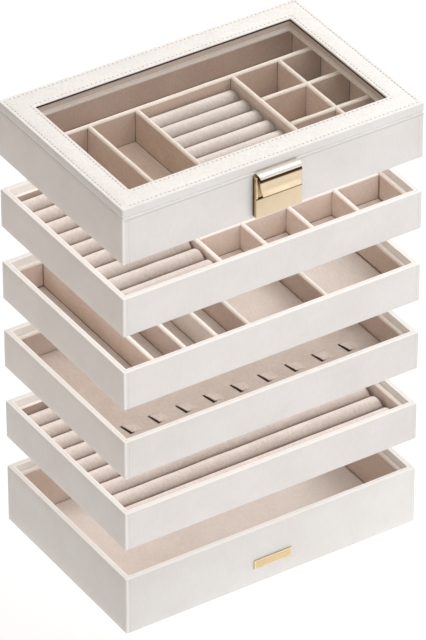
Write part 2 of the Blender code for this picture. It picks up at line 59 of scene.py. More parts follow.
# ================================================================ materials
class Nodes:
    """Small helper around one material's node tree."""

    def __init__(self, name):
        self.mat = bpy.data.materials.new(name)
        self.mat.use_nodes = True
        self.t = self.mat.node_tree
        self.b = self.t.nodes["Principled BSDF"]
        self.co = self.add("ShaderNodeTexCoord").outputs["Object"]

    def add(self, kind, **props):
        n = self.t.nodes.new(kind)
        for k, v in props.items():
            setattr(n, k, v)
        return n

    def link(self, a, b):
        self.t.links.new(a, b)

    def put(self, node, key, value):
        if isinstance(value, bpy.types.NodeSocket):
            self.link(value, node.inputs[key])
        elif value is not None:
            node.inputs[key].default_value = value

    def mapped(self, scale, rot=(0, 0, 0)):
        m = self.add("ShaderNodeMapping")
        self.link(self.co, m.inputs["Vector"])
        m.inputs["Scale"].default_value = scale
        m.inputs["Rotation"].default_value = rot
        return m.outputs["Vector"]

    def noise(self, vec, scale, detail=3.0, rough=0.55, distort=0.0):
        n = self.add("ShaderNodeTexNoise")
        self.link(vec, n.inputs["Vector"])
        n.inputs["Scale"].default_value = scale
        n.inputs["Detail"].default_value = detail
        n.inputs["Roughness"].default_value = rough
        n.inputs["Distortion"].default_value = distort
        return n.outputs["Fac"]

    def voronoi(self, vec, scale, feature="F1", rand=1.0):
        n = self.add("ShaderNodeTexVoronoi", feature=feature)
        self.link(vec, n.inputs["Vector"])
        n.inputs["Scale"].default_value = scale
        n.inputs["Randomness"].default_value = rand
        return n.outputs["Distance"]

    def remap(self, v, a, b, c=0.0, d=1.0):
        n = self.add("ShaderNodeMapRange", clamp=True)
        self.link(v, n.inputs["Value"])
        n.inputs["From Min"].default_value = a
        n.inputs["From Max"].default_value = b
        n.inputs["To Min"].default_value = c
        n.inputs["To Max"].default_value = d
        return n.outputs["Result"]

    def math(self, op, a, b=0.0):
        n = self.add("ShaderNodeMath", operation=op)
        self.put(n, 0, a)
        self.put(n, 1, b)
        return n.outputs[0]

    def mix(self, fac, a, b, mode="MIX"):
        n = self.add("ShaderNodeMix", data_type="RGBA", blend_type=mode)
        self.put(n, "Factor", fac)
        for sock, v in (("A", a), ("B", b)):
            s = [i for i in n.inputs if i.name == sock and i.type == "RGBA"][0]
            if isinstance(v, bpy.types.NodeSocket):
                self.link(v, s)
            else:
                s.default_value = (*v, 1.0)
        return [o for o in n.outputs if o.type == "RGBA"][0]

    def bump(self, height, dist, strength=1.0, normal=None):
        n = self.add("ShaderNodeBump")
        self.link(height, n.inputs["Height"])
        n.inputs["Distance"].default_value = dist
        n.inputs["Strength"].default_value = strength
        if normal is not None:
            self.link(normal, n.inputs["Normal"])
        return n.outputs["Normal"]

    def axis(self, which):
        n = self.add("ShaderNodeSeparateXYZ")
        self.link(self.co, n.inputs[0])
        return n.outputs[which]

    def set(self, **kw):
        for k, v in kw.items():
            self.put(self.b, k.replace("_", " "), v)
        return self.mat


def leather(name, colour, shade, seams=(), grain=0.3, lay=(520, 520, 150)):
    """Grained artificial leather: fine pebble cells, stretched crease lines and
    a slow change of tone; seams are faint pressed lines at given heights, their
    grooves darkened with painted shade."""
    n = Nodes(name)
    warp = n.noise(n.mapped((1, 1, 1)), 160, 2, 0.6)
    vec = n.mapped((1.0, 1.0, 1.35), (0.3, 0.5, 0.2))
    v2 = n.add("ShaderNodeVectorMath", operation="MULTIPLY_ADD")
    n.link(warp, v2.inputs[0])
    v2.inputs[1].default_value = (0.0016, 0.0016, 0.0016)
    n.link(vec, v2.inputs[2])
    cells = n.voronoi(v2.outputs[0], 820, "DISTANCE_TO_EDGE")
    crease = n.remap(cells, 0.0, 0.22)
    fine = n.noise(v2.outputs[0], 2600, 2, 0.6)
    strokes = n.noise(n.mapped(lay, (0.25, 0.35, 0.5)), 1.0, 3, 0.6)
    slow = n.noise(n.mapped((1, 1, 1)), 28, 3, 0.5)
    col = n.mix(n.remap(slow, 0.35, 0.68), colour, shade)
    col = n.mix(n.remap(crease, 0.0, 1.0, 0.16, 0.0), col,
                tuple(c * 0.72 for c in shade))
    col = n.mix(n.remap(strokes, 0.45, 0.66, 0.0, min(1.0, 0.25 * grain)), col,
                tuple(min(1.0, c * 1.12) for c in colour))
    col = n.mix(n.remap(strokes, 0.50, 0.34, 0.0, min(1.0, 0.22 * grain)), col,
                tuple(c * 0.80 for c in shade))
    h = n.math("ADD", n.math("MULTIPLY", crease, 0.55),
               n.math("ADD", n.math("MULTIPLY", fine, 0.25),
                      n.math("MULTIPLY", strokes, 0.5)))
    nor = n.bump(h, 0.00016, 0.75)
    for kind, at in seams:
        if kind == "x":          # pressed line beside the corners
            d = n.math("ABSOLUTE", n.math("SUBTRACT", n.math(
                "ABSOLUTE", n.axis(0)), at))
        elif kind == "rim":      # pressed line along the rim
            d = n.math("ABSOLUTE", n.math("SUBTRACT", n.math(
                "MAXIMUM", n.math("SUBTRACT", n.math("ABSOLUTE", n.axis(0)),
                                  0.048), n.math("ABSOLUTE", n.axis(1))), at))
        else:
            d = n.math("ABSOLUTE", n.math("SUBTRACT", n.axis(2), at))
        line = n.remap(d, 0.00008, 0.0005)
        nor = n.bump(line, 0.0002, 0.7, nor)
        # painted shade: the pressed line's colour is darkened
        dark = n.remap(line, 0.0, 1.0, {"x": 0.14, "rim": 0.32}.get(kind, 0.8),
                       0.0)
        if kind == "z":          # painted shade, stronger on the front than on the sides
            dark = n.math("MULTIPLY", dark, n.remap(n.axis(1), -0.0905, -0.0914,
                                                    0.25, 1.0))
        col = n.mix(dark, col, tuple(c * 0.62 for c in shade))
    if seams and seams[0][0] == "x":   # painted highlight along the front corners
        corner_highlight = n.math("MULTIPLY",
                      n.remap(n.math("MULTIPLY", n.axis(0), -1.0),
                              0.1377, 0.1383, 0.0, 0.75),
                      n.remap(n.axis(1), -0.0907, -0.0913))
        col = n.mix(corner_highlight, col, (1.0, 0.985, 0.965))
    rough = n.remap(n.math("ADD", crease, fine), 0.3, 1.5, 0.56, 0.42)
    return n.set(Base_Color=col, Roughness=rough, Normal=nor)


def velvet(name, colour, shade, light, pile=1.0, sheen=0.35, painted_front_shade=0.0,
           pucker=0.0, painted_crease_shade=0.0):
    """Short-pile velvet: fibre speckle, brushed patches and a soft sheen;
    options paint shade by which way a face points.
    """
    n = Nodes(name)
    fibre = n.noise(n.mapped((1, 1, 1)), 3600, 2, 0.7)
    nap = n.noise(n.mapped((700, 260, 420), (0.2, 0.1, 0.7)), 1.0, 3, 0.65)
    patch = n.noise(n.mapped((1, 1, 1)), 42, 4, 0.6, 0.6)
    slow = n.noise(n.mapped((1, 1, 1)), 11, 2, 0.5)
    col = n.mix(n.remap(patch, 0.36, 0.66), shade, colour)
    col = n.mix(n.remap(slow, 0.4, 0.7, 0.0, 0.5), col, light)
    col = n.mix(n.remap(fibre, 0.3, 0.7, 0.0, 0.16), col,
                tuple(c * 0.78 for c in shade))
    col = n.mix(n.remap(nap, 0.45, 0.7, 0.0, 0.36), col, light)
    col = n.mix(n.remap(nap, 0.48, 0.30, 0.0, 0.30), col,
                tuple(c * 0.80 for c in shade))
    if painted_front_shade:                 # painted shade, darker towards the front-facing side
        sep = n.add("ShaderNodeSeparateXYZ")
        n.link(n.add("ShaderNodeTexCoord").outputs["Normal"], sep.inputs[0])
        col = n.mix(n.remap(sep.outputs[1], 0.1, -0.9, 0.0, painted_front_shade), col,
                    (shade[0] * 0.48, shade[1] * 0.45, shade[2] * 0.42))
        if painted_crease_shade:           # painted shade: dark line where two rolls meet
            col = n.mix(n.remap(sep.outputs[1], -0.80, -0.93, 0.0, painted_crease_shade), col,
                        (0.17, 0.11, 0.08))
            # painted shade on the right-facing ends
            col = n.mix(n.remap(sep.outputs[0], 0.15, 0.85, 0.0, 0.6), col,
                        (0.30, 0.22, 0.18))
            # painted shade on the rear-facing side
            col = n.mix(n.remap(sep.outputs[1], 0.55, 0.90, 0.0, 0.6), col,
                        (0.45, 0.34, 0.28))
            # painted shade: dark line on the rear side where two rolls meet
            col = n.mix(n.remap(sep.outputs[1], 0.80, 0.93, 0.0, painted_crease_shade), col,
                        (0.17, 0.11, 0.08))
    h = n.math("ADD", n.math("MULTIPLY", fibre, 0.7),
               n.math("MULTIPLY", nap, 0.6))
    nor = n.bump(h, 0.00022 * pile, 0.7)
    if pucker:               # slanting pulls in the cloth
        pull = n.noise(n.mapped((520, 330, 330), (0.2, 0.5, 0.75)), 1.0, 4,
                       0.7, 0.8)
        col = n.mix(n.remap(pull, 0.5, 0.32, 0.0, 0.3 * pucker), col,
                    tuple(c * 0.66 for c in shade))
        col = n.mix(n.remap(pull, 0.5, 0.68, 0.0, 0.4 * pucker), col, light)
        nor = n.bump(pull, 0.0005 * pucker, 0.7, nor)
    n.b.inputs["Sheen Weight"].default_value = sheen
    n.b.inputs["Sheen Roughness"].default_value = 0.45
    n.b.inputs["Sheen Tint"].default_value = (1.0, 0.95, 0.91, 1.0)
    n.b.inputs["Specular IOR Level"].default_value = 0.2
    return n.set(Base_Color=col, Roughness=n.remap(fibre, 0.2, 0.8, 0.86, 0.98),
                 Normal=nor)


def gold(name, colour, rough=0.2, line=0.5, painted_shade_band=None, metal=1.0):
    """Polished pale gold plating with faint brushing and handling marks; painted
    shade darkens a band between two heights, in its y mode towards the wall
    behind it."""
    n = Nodes(name)
    brush = n.noise(n.mapped((60, 900, 900)), 1.0, 3, 0.6)
    smear = n.noise(n.mapped((1, 1, 1)), 120, 3, 0.6)
    col = n.mix(n.remap(smear, 0.35, 0.7, 0.0, 0.35), colour,
                tuple(c * f for c, f in zip(colour, (0.94, 0.9, 0.82))))
    if painted_shade_band and painted_shade_band[0] == "y":     # painted shade, darker towards the wall behind it
        col = n.mix(n.remap(n.axis(1), painted_shade_band[1] * MM, painted_shade_band[2] * MM),
                    col, (0.12, 0.06, 0.025))
    elif painted_shade_band:
        # painted shadow band between the two heights
        col = n.mix(n.remap(n.axis(2), painted_shade_band[1] * MM, painted_shade_band[0] * MM),
                    col, (0.06, 0.028, 0.008))
    nor = n.bump(brush, 0.00002, line)
    return n.set(Base_Color=col, Metallic=metal,
                 Roughness=n.remap(smear, 0.3, 0.7, rough * 0.8, rough * 1.3),
                 Normal=nor)


M_LEATHER = leather("leather_case", (0.868, 0.837, 0.812), (0.822, 0.787, 0.757),
                    seams=(("x", 0.1362),))
# darker copy of the case leather: painted shade on the bottom tray
M_LEATHER_DEEP = leather("leather_bottom_case", (0.83, 0.805, 0.775),
                         (0.79, 0.76, 0.725), seams=(("x", 0.1362),))
M_LEATHER_TOP = leather("leather_top_case", (0.866, 0.833, 0.808),
                        (0.82, 0.783, 0.753),
                        seams=(("x", 0.1345), ("z", (Z_SEAM - 2.3) * MM)))
M_LID = leather("leather_lid", (0.87, 0.845, 0.825), (0.83, 0.80, 0.775))
M_LID_TOP = leather("leather_lid_top", (0.875, 0.85, 0.83),
                    (0.83, 0.80, 0.775), grain=1.15, lay=(620, 330, 500))
# lighter copy of the case leather: painted light on the rims and the inner
# recess walls
M_RIM = leather("leather_rim", (0.955, 0.935, 0.91), (0.93, 0.905, 0.875),
                seams=(("rim", 0.0893),))
VEL = ((0.70, 0.58, 0.505), (0.64, 0.52, 0.445), (0.78, 0.672, 0.60))
M_LINER = velvet("velvet_liner", *VEL, sheen=0.25)
M_TOP = velvet("velvet_top_tray", (0.70, 0.545, 0.45), (0.62, 0.475, 0.38),
               (0.77, 0.64, 0.55), sheen=0.2)
M_FLOOR_NECK = velvet("velvet_necklace_floor", (0.60, 0.515, 0.46),
                      (0.53, 0.45, 0.395), (0.68, 0.60, 0.55), pile=1.2,
                      sheen=0.25)
M_FLOOR = velvet("velvet_floor", (0.70, 0.62, 0.565), (0.64, 0.56, 0.505),
                 (0.77, 0.70, 0.65), pile=1.2, sheen=0.3)
M_TAB = velvet("velvet_tab", (0.64, 0.555, 0.50), (0.57, 0.49, 0.435),
               (0.78, 0.70, 0.65), pile=1.2, sheen=0.25, pucker=1.0)
M_DIV = velvet("velvet_divider", *VEL, sheen=0.3)
# lighter copies of the velvet for rounded top edges: painted light
M_EDGE = velvet("velvet_edge", (0.95, 0.885, 0.835), (0.91, 0.84, 0.785),
                (0.97, 0.925, 0.885), sheen=1.0)
M_EDGE_TOP = velvet("velvet_edge_top_tray", (0.98, 0.88, 0.795),
                    (0.93, 0.83, 0.74), (1.0, 0.93, 0.86), sheen=0.9)
# very dark velvet: painted shade in corners, along the pads' edges and at the
# boards' ends
M_CORNER_SHADE = velvet("velvet_painted_corner_shade", (0.20, 0.105, 0.06), (0.15, 0.08, 0.045),
                  (0.26, 0.15, 0.10), sheen=0.0)
# painted shade on the rear wall behind the first roll
M_SHADE = velvet("velvet_painted_rear_shade", (0.47, 0.375, 0.325), (0.40, 0.31, 0.26),
                 (0.55, 0.45, 0.39), sheen=0.0)
# painted shade towards the front-facing side
M_LINER_NECK = velvet("velvet_liner_necklace", *VEL, sheen=0.25, painted_front_shade=0.3)
# painted shade towards the front-facing side
M_TOP_LONG = velvet("velvet_long_divider", (0.71, 0.55, 0.455),
                    (0.63, 0.48, 0.385), (0.78, 0.645, 0.555), sheen=0.2,
                    painted_front_shade=0.24)
# darker copy of the top tray velvet: painted shade on two boards
M_TOP_DARK = velvet("velvet_top_divider_dark", (0.61, 0.455, 0.36),
                    (0.54, 0.395, 0.30), (0.68, 0.545, 0.45), sheen=0.15)
# lighter copy of the divider velvet: painted light on one board
M_DIV_LIGHT = velvet("velvet_divider_light", (0.81, 0.73, 0.68),
                     (0.75, 0.67, 0.61), (0.87, 0.80, 0.76), sheen=0.3)
# darker copy of the divider velvet: painted shade on two boards
M_DIV_DARK = velvet("velvet_divider_dark", (0.61, 0.50, 0.435),
                    (0.55, 0.44, 0.375), (0.69, 0.59, 0.53), sheen=0.25)
M_FLOOR_DEEP = velvet("velvet_deep_floor", (0.80, 0.72, 0.665),
                      (0.74, 0.66, 0.605), (0.85, 0.79, 0.75), pile=1.2,
                      sheen=0.3)
M_FLOOR_TOP = velvet("velvet_top_floor", (0.79, 0.64, 0.555),
                     (0.71, 0.57, 0.48), (0.84, 0.73, 0.65), sheen=0.25)
# painted shade on the rolls' front sides, creases, right ends and rears
M_ROLL = velvet("velvet_roll", (0.83, 0.755, 0.72), (0.74, 0.66, 0.62),
                (0.90, 0.84, 0.81), pile=1.6, sheen=0.45, painted_front_shade=0.36,
                pucker=0.7, painted_crease_shade=0.75)
GOLD = (0.80, 0.66, 0.465)
M_GOLD = gold("gold_plate", GOLD)
# painted shadow band under the hood's lip
M_GOLD_FLAP = gold("gold_flap", (0.84, 0.70, 0.50), 0.34,
                   painted_shade_band=(Z_LT - 13.5, Z_LT - 14.9), metal=0.9)
# paler, mostly diffuse copy of the gold: painted reflection of the bright studio
M_GOLD_HOOD = gold("gold_hood", (0.95, 0.915, 0.865), 0.3, 0.1, metal=0.35)
# painted shadow band just below the flap's edge
M_GOLD_LOW = gold("gold_lower_plate", GOLD,
                  painted_shade_band=(Z_LT - 30.2, Z_LT - 31.3))
# darker copy of the gold for side faces: painted shade
M_GOLD_SIDE_SHADE = gold("gold_painted_side_shade", (0.62, 0.47, 0.28), 0.35,
                   painted_shade_band=("y", -95.9, -94.3))
M_GOLD_DULL = gold("gold_hinge", (0.72, 0.56, 0.33), 0.3)
M_GOLD_BACK = gold("gold_latch_back", (0.70, 0.53, 0.31), 0.5, metal=0.4)


def plain(name, colour, rough, bump=0.0, scale=900, metal=0.0):
    n = Nodes(name)
    f = n.noise(n.mapped((1, 1, 1)), scale, 3, 0.6)
    col = n.mix(n.remap(f, 0.35, 0.65, 0.0, 0.6), colour,
                tuple(c * 0.8 for c in colour))
    out = n.set(Base_Color=col, Roughness=n.remap(f, 0.2, 0.8, rough * 0.9,
                                                  min(1.0, rough * 1.1)),
                Metallic=metal)
    if bump:
        n.put(n.b, "Normal", n.bump(f, bump, 0.8))
    return out


M_THREAD = plain("stitch_thread", (0.93, 0.91, 0.88), 0.6, 0.0001, 4000)
# dark discs at the needle holes: painted shade in the holes
M_HOLE = plain("needle_hole", (0.30, 0.25, 0.21), 0.9)
# near-black ring in the pane's gap: painted shade
M_PANE_GAP_SHADE = plain("pane_gap_painted_shade", (0.06, 0.028, 0.014), 0.95)
M_BED = plain("glass_bed", (0.66, 0.585, 0.53), 0.5, 0.0001, 1500)
M_FELT = plain("base_felt", (0.42, 0.38, 0.35), 0.95, 0.0004, 2200)
# near-black patches at the tab slits: painted shadow
M_SLIT_SHADOW = plain("tab_slit_painted_shadow", (0.035, 0.025, 0.02), 0.9)
# dark slot colour: painted shade in the screws' slots
M_SCREW_SLOT = plain("screw_slot", (0.10, 0.08, 0.05), 0.6)


def glass():
    n = Nodes("lid_glass_pane")
    haze = n.noise(n.mapped((1, 1, 1)), 30, 3, 0.5)
    m = n.set(Base_Color=(0.55, 0.60, 0.58, 1.0),
              Roughness=n.remap(haze, 0.3, 0.7, 0.02, 0.06))
    n.b.inputs["Alpha"].default_value = 0.04
    n.b.inputs["Specular IOR Level"].default_value = 0.3
    return m


M_GLASS = glass()


# ================================================================ geometry
def rloop(hx, hy, z, r, n=4, mx=10, my=7):
    """Rounded rectangle, counter-clockwise, with points along its sides."""
    r = min(r, hx * 0.98, hy * 0.98)
    out = []
    corners = ((1, 1, 0), (-1, 1, 90), (-1, -1, 180), (1, -1, 270))
    for k, (sx, sy, a0) in enumerate(corners):
        cx, cy = sx * (hx - r), sy * (hy - r)
        for i in range(n + 1):
            a = math.radians(a0 + 90 * i / n)
            out.append((cx + r * math.cos(a), cy + r * math.sin(a)))
        nx, ny, na = corners[(k + 1) % 4]
        ex = nx * (hx - r) + r * math.cos(math.radians(na))
        ey = ny * (hy - r) + r * math.sin(math.radians(na))
        m = mx if k % 2 == 0 else my
        x0, y0 = out[-1]
        for i in range(1, m):
            out.append((x0 + (ex - x0) * i / m, y0 + (ey - y0) * i / m))
    return [Vector((x, y, z)) * MM for x, y in out]


PIECES = {}


def make(name, bm, mats, body, sharp=40):
    bmesh.ops.recalc_face_normals(bm, faces=bm.faces)
    me = bpy.data.meshes.new(name)
    bm.to_mesh(me)
    bm.free()
    for m in (mats if isinstance(mats, (list, tuple)) else [mats]):
        me.materials.append(m)
    me.shade_smooth()
    me.set_sharp_from_angle(angle=math.radians(sharp))
    ob = bpy.data.objects.new(name, me)
    bpy.context.scene.collection.objects.link(ob)
    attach(ob, body)
    PIECES.setdefault(body, []).append(ob)
    return ob


def skin(name, loops, mats, body, ring=False, wob=0.0, mat_of=None,
         sharp=40, seed=0.0):
    bm = bmesh.new()
    rows = []
    for lp in loops:
        row = []
        for p in lp:
            q = p.copy()
            if wob:
                d = noise.noise_vector(q * 38 + Vector((seed, 0, 0)))
                q += Vector((d.x, d.y, d.z * 0.5)) * wob * MM
            row.append(bm.verts.new(q))
        rows.append(row)
    n = len(rows[0])
    pairs = list(zip(range(len(rows) - 1), range(1, len(rows))))
    if ring:
        pairs.append((len(rows) - 1, 0))
    for a, b in pairs:
        for i in range(n):
            j = (i + 1) % n
            f = bm.faces.new((rows[a][i], rows[a][j], rows[b][j], rows[b][i]))
            if mat_of:
                f.material_index = mat_of(a, i)
    if not ring:
        bm.faces.new(rows[0][::-1])
        bm.faces.new(rows[-1])
    return make(name, bm, mats, body, sharp)


def arc(cx, cz, r, a0, a1, n):
    """Points (inset, z) on an arc."""
    return [(cx + r * math.cos(math.radians(a0 + (a1 - a0) * i / n)),
             cz + r * math.sin(math.radians(a0 + (a1 - a0) * i / n)))
            for i in range(n + 1)]


# ---------------------------------------------------------------- tray shells
def case(tag, z, h, mat, plinth=True, base_t=2.7, seed=0.0):
    prof = []
    if plinth:
        prof += [(6.7, z - 4.0), (6.2, z - 3.85), (6.0, z - 3.4), (6.0, z)]
    prof += [(1.0, z)] + arc(0.8, z + 0.8, 0.8, 270, 180, 3)
    for k in range(1, 4):
        prof.append((0.0, z + 0.8 + (h - 1.8) * k / 4))
    body_rows = len(prof)
    ro, ri = 0.7, 0.6
    prof += arc(ro, z + h - ro, ro, 180, 90, 4)
    prof += [(1.9, z + h + 0.05), (3.4, z + h + 0.05)]
    prof += arc(WALL - ri, z + h - ri, ri, 90, 0, 4)
    rim_rows = len(prof)
    prof += [(WALL, z + h - 3.5), (WALL, z + h - RECESS - 1.0),
             (WALL, z + base_t)]
    loops = [rloop(140 - a, 92 - a, b, max(0.45, 1.5 - a)) for a, b in prof]
    # the rim and the inner recess wall take the lighter rim leather: painted
    # light
    ob = skin(tag + "_shell", loops, [mat, M_RIM], tag + "_tray", wob=0.10,
              mat_of=lambda r, i: 1 if r >= body_rows + 1 else 0,
              seed=seed)
    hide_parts(tag + "_case")
    return ob


def liner(tag, z, h, base_t=2.7):
    o = WALL + 0.12
    t = LINER_T + 0.18
    zt = z + h - RECESS
    prof = [(o, z + base_t + 0.3), (o, zt - 0.8)]
    prof += arc(o + 0.6, zt - 0.6, 0.6, 180, 90, 4)
    prof += arc(o + t - 1.3, zt - 1.3, 1.3, 90, 0, 4)
    edge = len(prof)
    corners = {0, 1, 12, 13, 21, 22, 33, 34}     # faces of the inner corners, for painted shade
    prof += [(o + t, zt - 2.6), (o + t - 0.08, zt - (zt - z - base_t) * 0.5),
             (o + t, z + base_t + 0.3)]
    loops = [rloop(140 - a, 92 - a, b, 0.35, n=2) for a, b in prof]
    # the top edge takes the lighter edge velvet (painted light), the inner
    # corners the dark velvet (painted shade)
    ob = skin(tag + "_lining", loops,
              [{"top": M_TOP, "necklace": M_LINER_NECK}.get(tag, M_LINER),
               M_EDGE_TOP if tag == "top" else M_EDGE, M_CORNER_SHADE],
              tag + "_tray", ring=True, wob=0.12,
              mat_of=lambda r, i: (1 if 1 <= r <= edge - 1 else
                                   2 if r >= edge and i in corners else 0))
    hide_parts(tag + "_liner")
    return ob


def floor_pad(tag, z, base_t=2.7, pad_t=1.5, extra=()):
    zf = z + base_t + 0.3 + pad_t
    bm = bmesh.new()
    hx, hy = INX - 0.5, INY - 0.5

    def spread(h, n):
        near = (0.0, 0.25, 0.6, 1.2, 2.4)
        inner = [-h + 5 + (2 * h - 10) * k / n for k in range(n + 1)]
        return [-h + a for a in near] + inner + [h - a for a in near[::-1]]

    xs, ys = spread(hx, 38), spread(hy, 24)
    nx, ny = len(xs) - 1, len(ys) - 1
    grid = []
    for j in range(ny + 1):
        row = []
        for i in range(nx + 1):
            x, y = xs[i], ys[j]
            e = min(hx - abs(x), hy - abs(y))
            zz = zf - 0.75 * math.exp(-e / 0.45)
            zz += 0.12 * noise.noise(Vector((x, y, z)) * 0.045)
            row.append(bm.verts.new(Vector((x, y, zz)) * MM))
        grid.append(row)
    for j in range(ny):
        for i in range(nx):
            f = bm.faces.new((grid[j][i], grid[j][i + 1], grid[j + 1][i + 1],
                              grid[j + 1][i]))
            # the pad's edge rings take the dark velvet: painted shade along the
            # walls
            f.material_index = int(tag != "top" and (
                i < 2 or i >= nx - 2 or j < 2 or j >= ny - 2))
    rim = ([grid[0][i] for i in range(nx + 1)]
           + [grid[j][nx] for j in range(1, ny + 1)]
           + [grid[ny][i] for i in range(nx - 1, -1, -1)]
           + [grid[j][0] for j in range(ny - 1, 0, -1)])
    low = [bm.verts.new((v.co.x, v.co.y, (z + base_t + 0.3) * MM))
           for v in rim]
    for i in range(len(rim)):
        j = (i + 1) % len(rim)
        bm.faces.new((rim[j], rim[i], low[i], low[j]))
    bm.faces.new(low)
    mat = {"top": M_FLOOR_TOP, "necklace": M_FLOOR_NECK,
           "deep": M_FLOOR_DEEP}.get(tag, M_FLOOR)
    ob = make(tag + "_pad", bm, [mat, M_CORNER_SHADE], tag + "_tray")
    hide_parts(tag + "_floor", *extra)
    return zf


# ---------------------------------------------------------------- dividers
def divider(node, axis, c, lo, hi, z0, z1, body, puff=0.22, drop=0.0):
    """Velvet-wrapped board: full-round top, faintly puffed faces."""
    t = DIV_T / 2
    z1 = z1 - drop
    r = t * 0.96
    outline = [(-t + 0.6, z0), (-t + 0.2, z0 + 0.3), (-t, z0 + 0.8),
               (-t - puff * 0.5, z0 + (z1 - z0) * 0.35),
               (-t - puff * 0.5, z0 + (z1 - z0) * 0.65), (-t, z1 - r)]
    n_low = len(outline)
    outline += [(-t * math.cos(math.radians(a)),
                 z1 - r + r * math.sin(math.radians(a)))
                for a in (20, 40, 60, 78, 90, 102, 120, 140, 160)]
    n_top = len(outline)
    outline += [(t, z1 - r), (t + puff * 0.5, z0 + (z1 - z0) * 0.65),
                (t + puff * 0.5, z0 + (z1 - z0) * 0.35), (t, z0 + 0.8),
                (t - 0.2, z0 + 0.3), (t - 0.6, z0)]
    steps = max(4, int((hi - lo) / 7))
    stations = ([lo, lo + 0.25, lo + 0.6]
                + [lo + (hi - lo) * k / steps for k in range(1, steps)]
                + [hi - 0.6, hi - 0.25, hi])
    bm = bmesh.new()
    rows = []
    for k, s in enumerate(stations):
        tuck = {0: 0.9, 1: 0.3}.get(min(k, len(stations) - 1 - k), 0.0)
        row = []
        for a, b in outline:
            a2 = a * (1 - tuck * 0.22)
            b2 = b - tuck * (0.8 if b > z1 - r else 0.0)
            w = noise.noise(Vector((s * 0.06, c * 0.3, b * 0.05))) * 0.14
            p = (c + a2 + w, s) if axis == "Y" else (s, c + a2 + w)
            row.append(bm.verts.new(Vector((p[0], p[1], b2 + w * 0.6)) * MM))
        rows.append(row)
    n = len(outline)
    for s, (a, b) in enumerate(zip(rows[:-1], rows[1:])):
        for i in range(n):
            j = (i + 1) % n
            f = bm.faces.new((a[i], a[j], b[j], b[i]))
            # the top takes the lighter edge velvet (painted light), the ends the
            # dark velvet (painted shade)
            f.material_index = 1 if n_low - 1 <= i < n_top else 0
            if s in (0, len(rows) - 2) and f.material_index == 0:
                f.material_index = 2
    bm.faces.new(rows[0][::-1])
    bm.faces.new(rows[-1])
    # darker and lighter copies on some boards: painted shade and painted light
    mat = {"top_long_divider": M_TOP_LONG, "top_divider_2": M_TOP_DARK,
           "top_row_2": M_TOP_DARK, "bracelet_divider_2": M_DIV_DARK,
           "bracelet_divider_3": M_DIV_LIGHT,
           "bracelet_divider_5": M_DIV_DARK}.get(
               node, M_TOP if body == "top_tray" else M_DIV)
    ob = make(node + "_board", bm,
              [mat, M_EDGE_TOP if body == "top_tray" else M_EDGE, M_CORNER_SHADE],
              body, sharp=50)
    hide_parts(node)
    return ob


def painted_corner_shade(tag, xs, ys, z0, z1):
    """Thin dark rods in the upright corners and along the floor of every bay:
    painted shade.
    """
    bm = bmesh.new()

    def rod(axis, x, y, z, length, r):
        turn = {"x": Matrix.Rotation(math.pi / 2, 4, "Y"),
                "y": Matrix.Rotation(math.pi / 2, 4, "X"),
                "z": Matrix.Identity(4)}[axis]
        bmesh.ops.create_cone(bm, cap_ends=True, segments=8, radius1=r * MM,
                              radius2=r * MM, depth=length * MM,
                              matrix=Matrix.Translation(
                                  Vector((x, y, z)) * MM) @ turn)

    for xa, xb in xs:
        for ya, yb in ys:
            for x in (xa, xb):
                for y in (ya, yb):
                    rod("z", x, y, (z0 + z1) / 2, z1 - z0, 0.27)
                rod("y", x, (ya + yb) / 2, z0 + 0.05, yb - ya, 0.24)
            for y in (ya, yb):
                rod("x", (xa + xb) / 2, y, z0 + 0.05, xb - xa, 0.24)
    make(tag + "_creases", bm, M_CORNER_SHADE, tag + "_tray")


def bays(marks, lo, hi, t=2.0):
    edge = [lo] + [v for m in marks for v in (m - t, m + t)] + [hi]
    return list(zip(edge[::2], edge[1::2]))


def painted_rear_shade(tag, x0, x1, z0, z1):
    """Dark velvet slab on the rear wall behind the first roll: painted shade."""
    slab(tag + "_rear_fold", x0, x1, INY - 0.4, INY - 0.1, z0, z1, M_SHADE,
         tag + "_tray", 0.05)


# ---------------------------------------------------------------- ring rolls
def rolls(node, body, x0, x1, y0, y1, z_floor, z_top, count, er=1.5):
    """Foam rolls in velvet: each one a slightly crowned cylinder with turned
    in ends, pressed against its neighbours."""
    pitch = (y1 - y0) / count
    bm = bmesh.new()
    seg = 28
    length = x1 - x0
    ends = [(er * (1 - math.cos(math.radians(a))),
             er * (1 - math.sin(math.radians(a))) * 0.95)
            for a in (0, 20, 40, 60, 78)] + [(er, 0.0)]
    mids = max(6, int(length / 6))
    stations = ([(x0 + a, d) for a, d in ends]
                + [(x0 + er + (length - 2 * er) * k / mids, 0.0)
                   for k in range(1, mids)]
                + [(x1 - a, d) for a, d in ends[::-1]])
    for k in range(count):
        yc = y0 + (k + 0.5) * pitch
        ry = pitch / 2 + 0.12
        rz = pitch / 2 + 0.1
        zc = z_top - rz
        rows = []
        for x, d in stations:
            s = (x - x0) / length
            crown = 0.22 * math.sin(math.pi * s) ** 0.6 if 0 < s < 1 else 0
            row = []
            for i in range(seg):
                a = 2 * math.pi * i / seg
                w = noise.noise(Vector((x * 0.045, k * 3.1,
                                        math.sin(a) * 0.8))) * 0.28
                w += noise.noise(Vector((x * 0.16, k * 5.7 + 9,
                                         math.cos(a) * 1.3))) * 0.07
                yy = yc + (ry - d + w * 0.5) * math.cos(a)
                zz = zc + (rz - d + w + crown - 0.11) * math.sin(a)
                zz = max(zz, z_floor + 0.3)
                row.append(bm.verts.new(Vector((x, yy, zz)) * MM))
            rows.append(row)
        for p, q in zip(rows[:-1], rows[1:]):
            for i in range(seg):
                j = (i + 1) % seg
                bm.faces.new((p[i], p[j], q[j], q[i]))
        bm.faces.new(rows[0][::-1])
        bm.faces.new(rows[-1])
    ob = make(node + "_foam", bm, M_ROLL, body, sharp=60)
    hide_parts(node)
    return ob


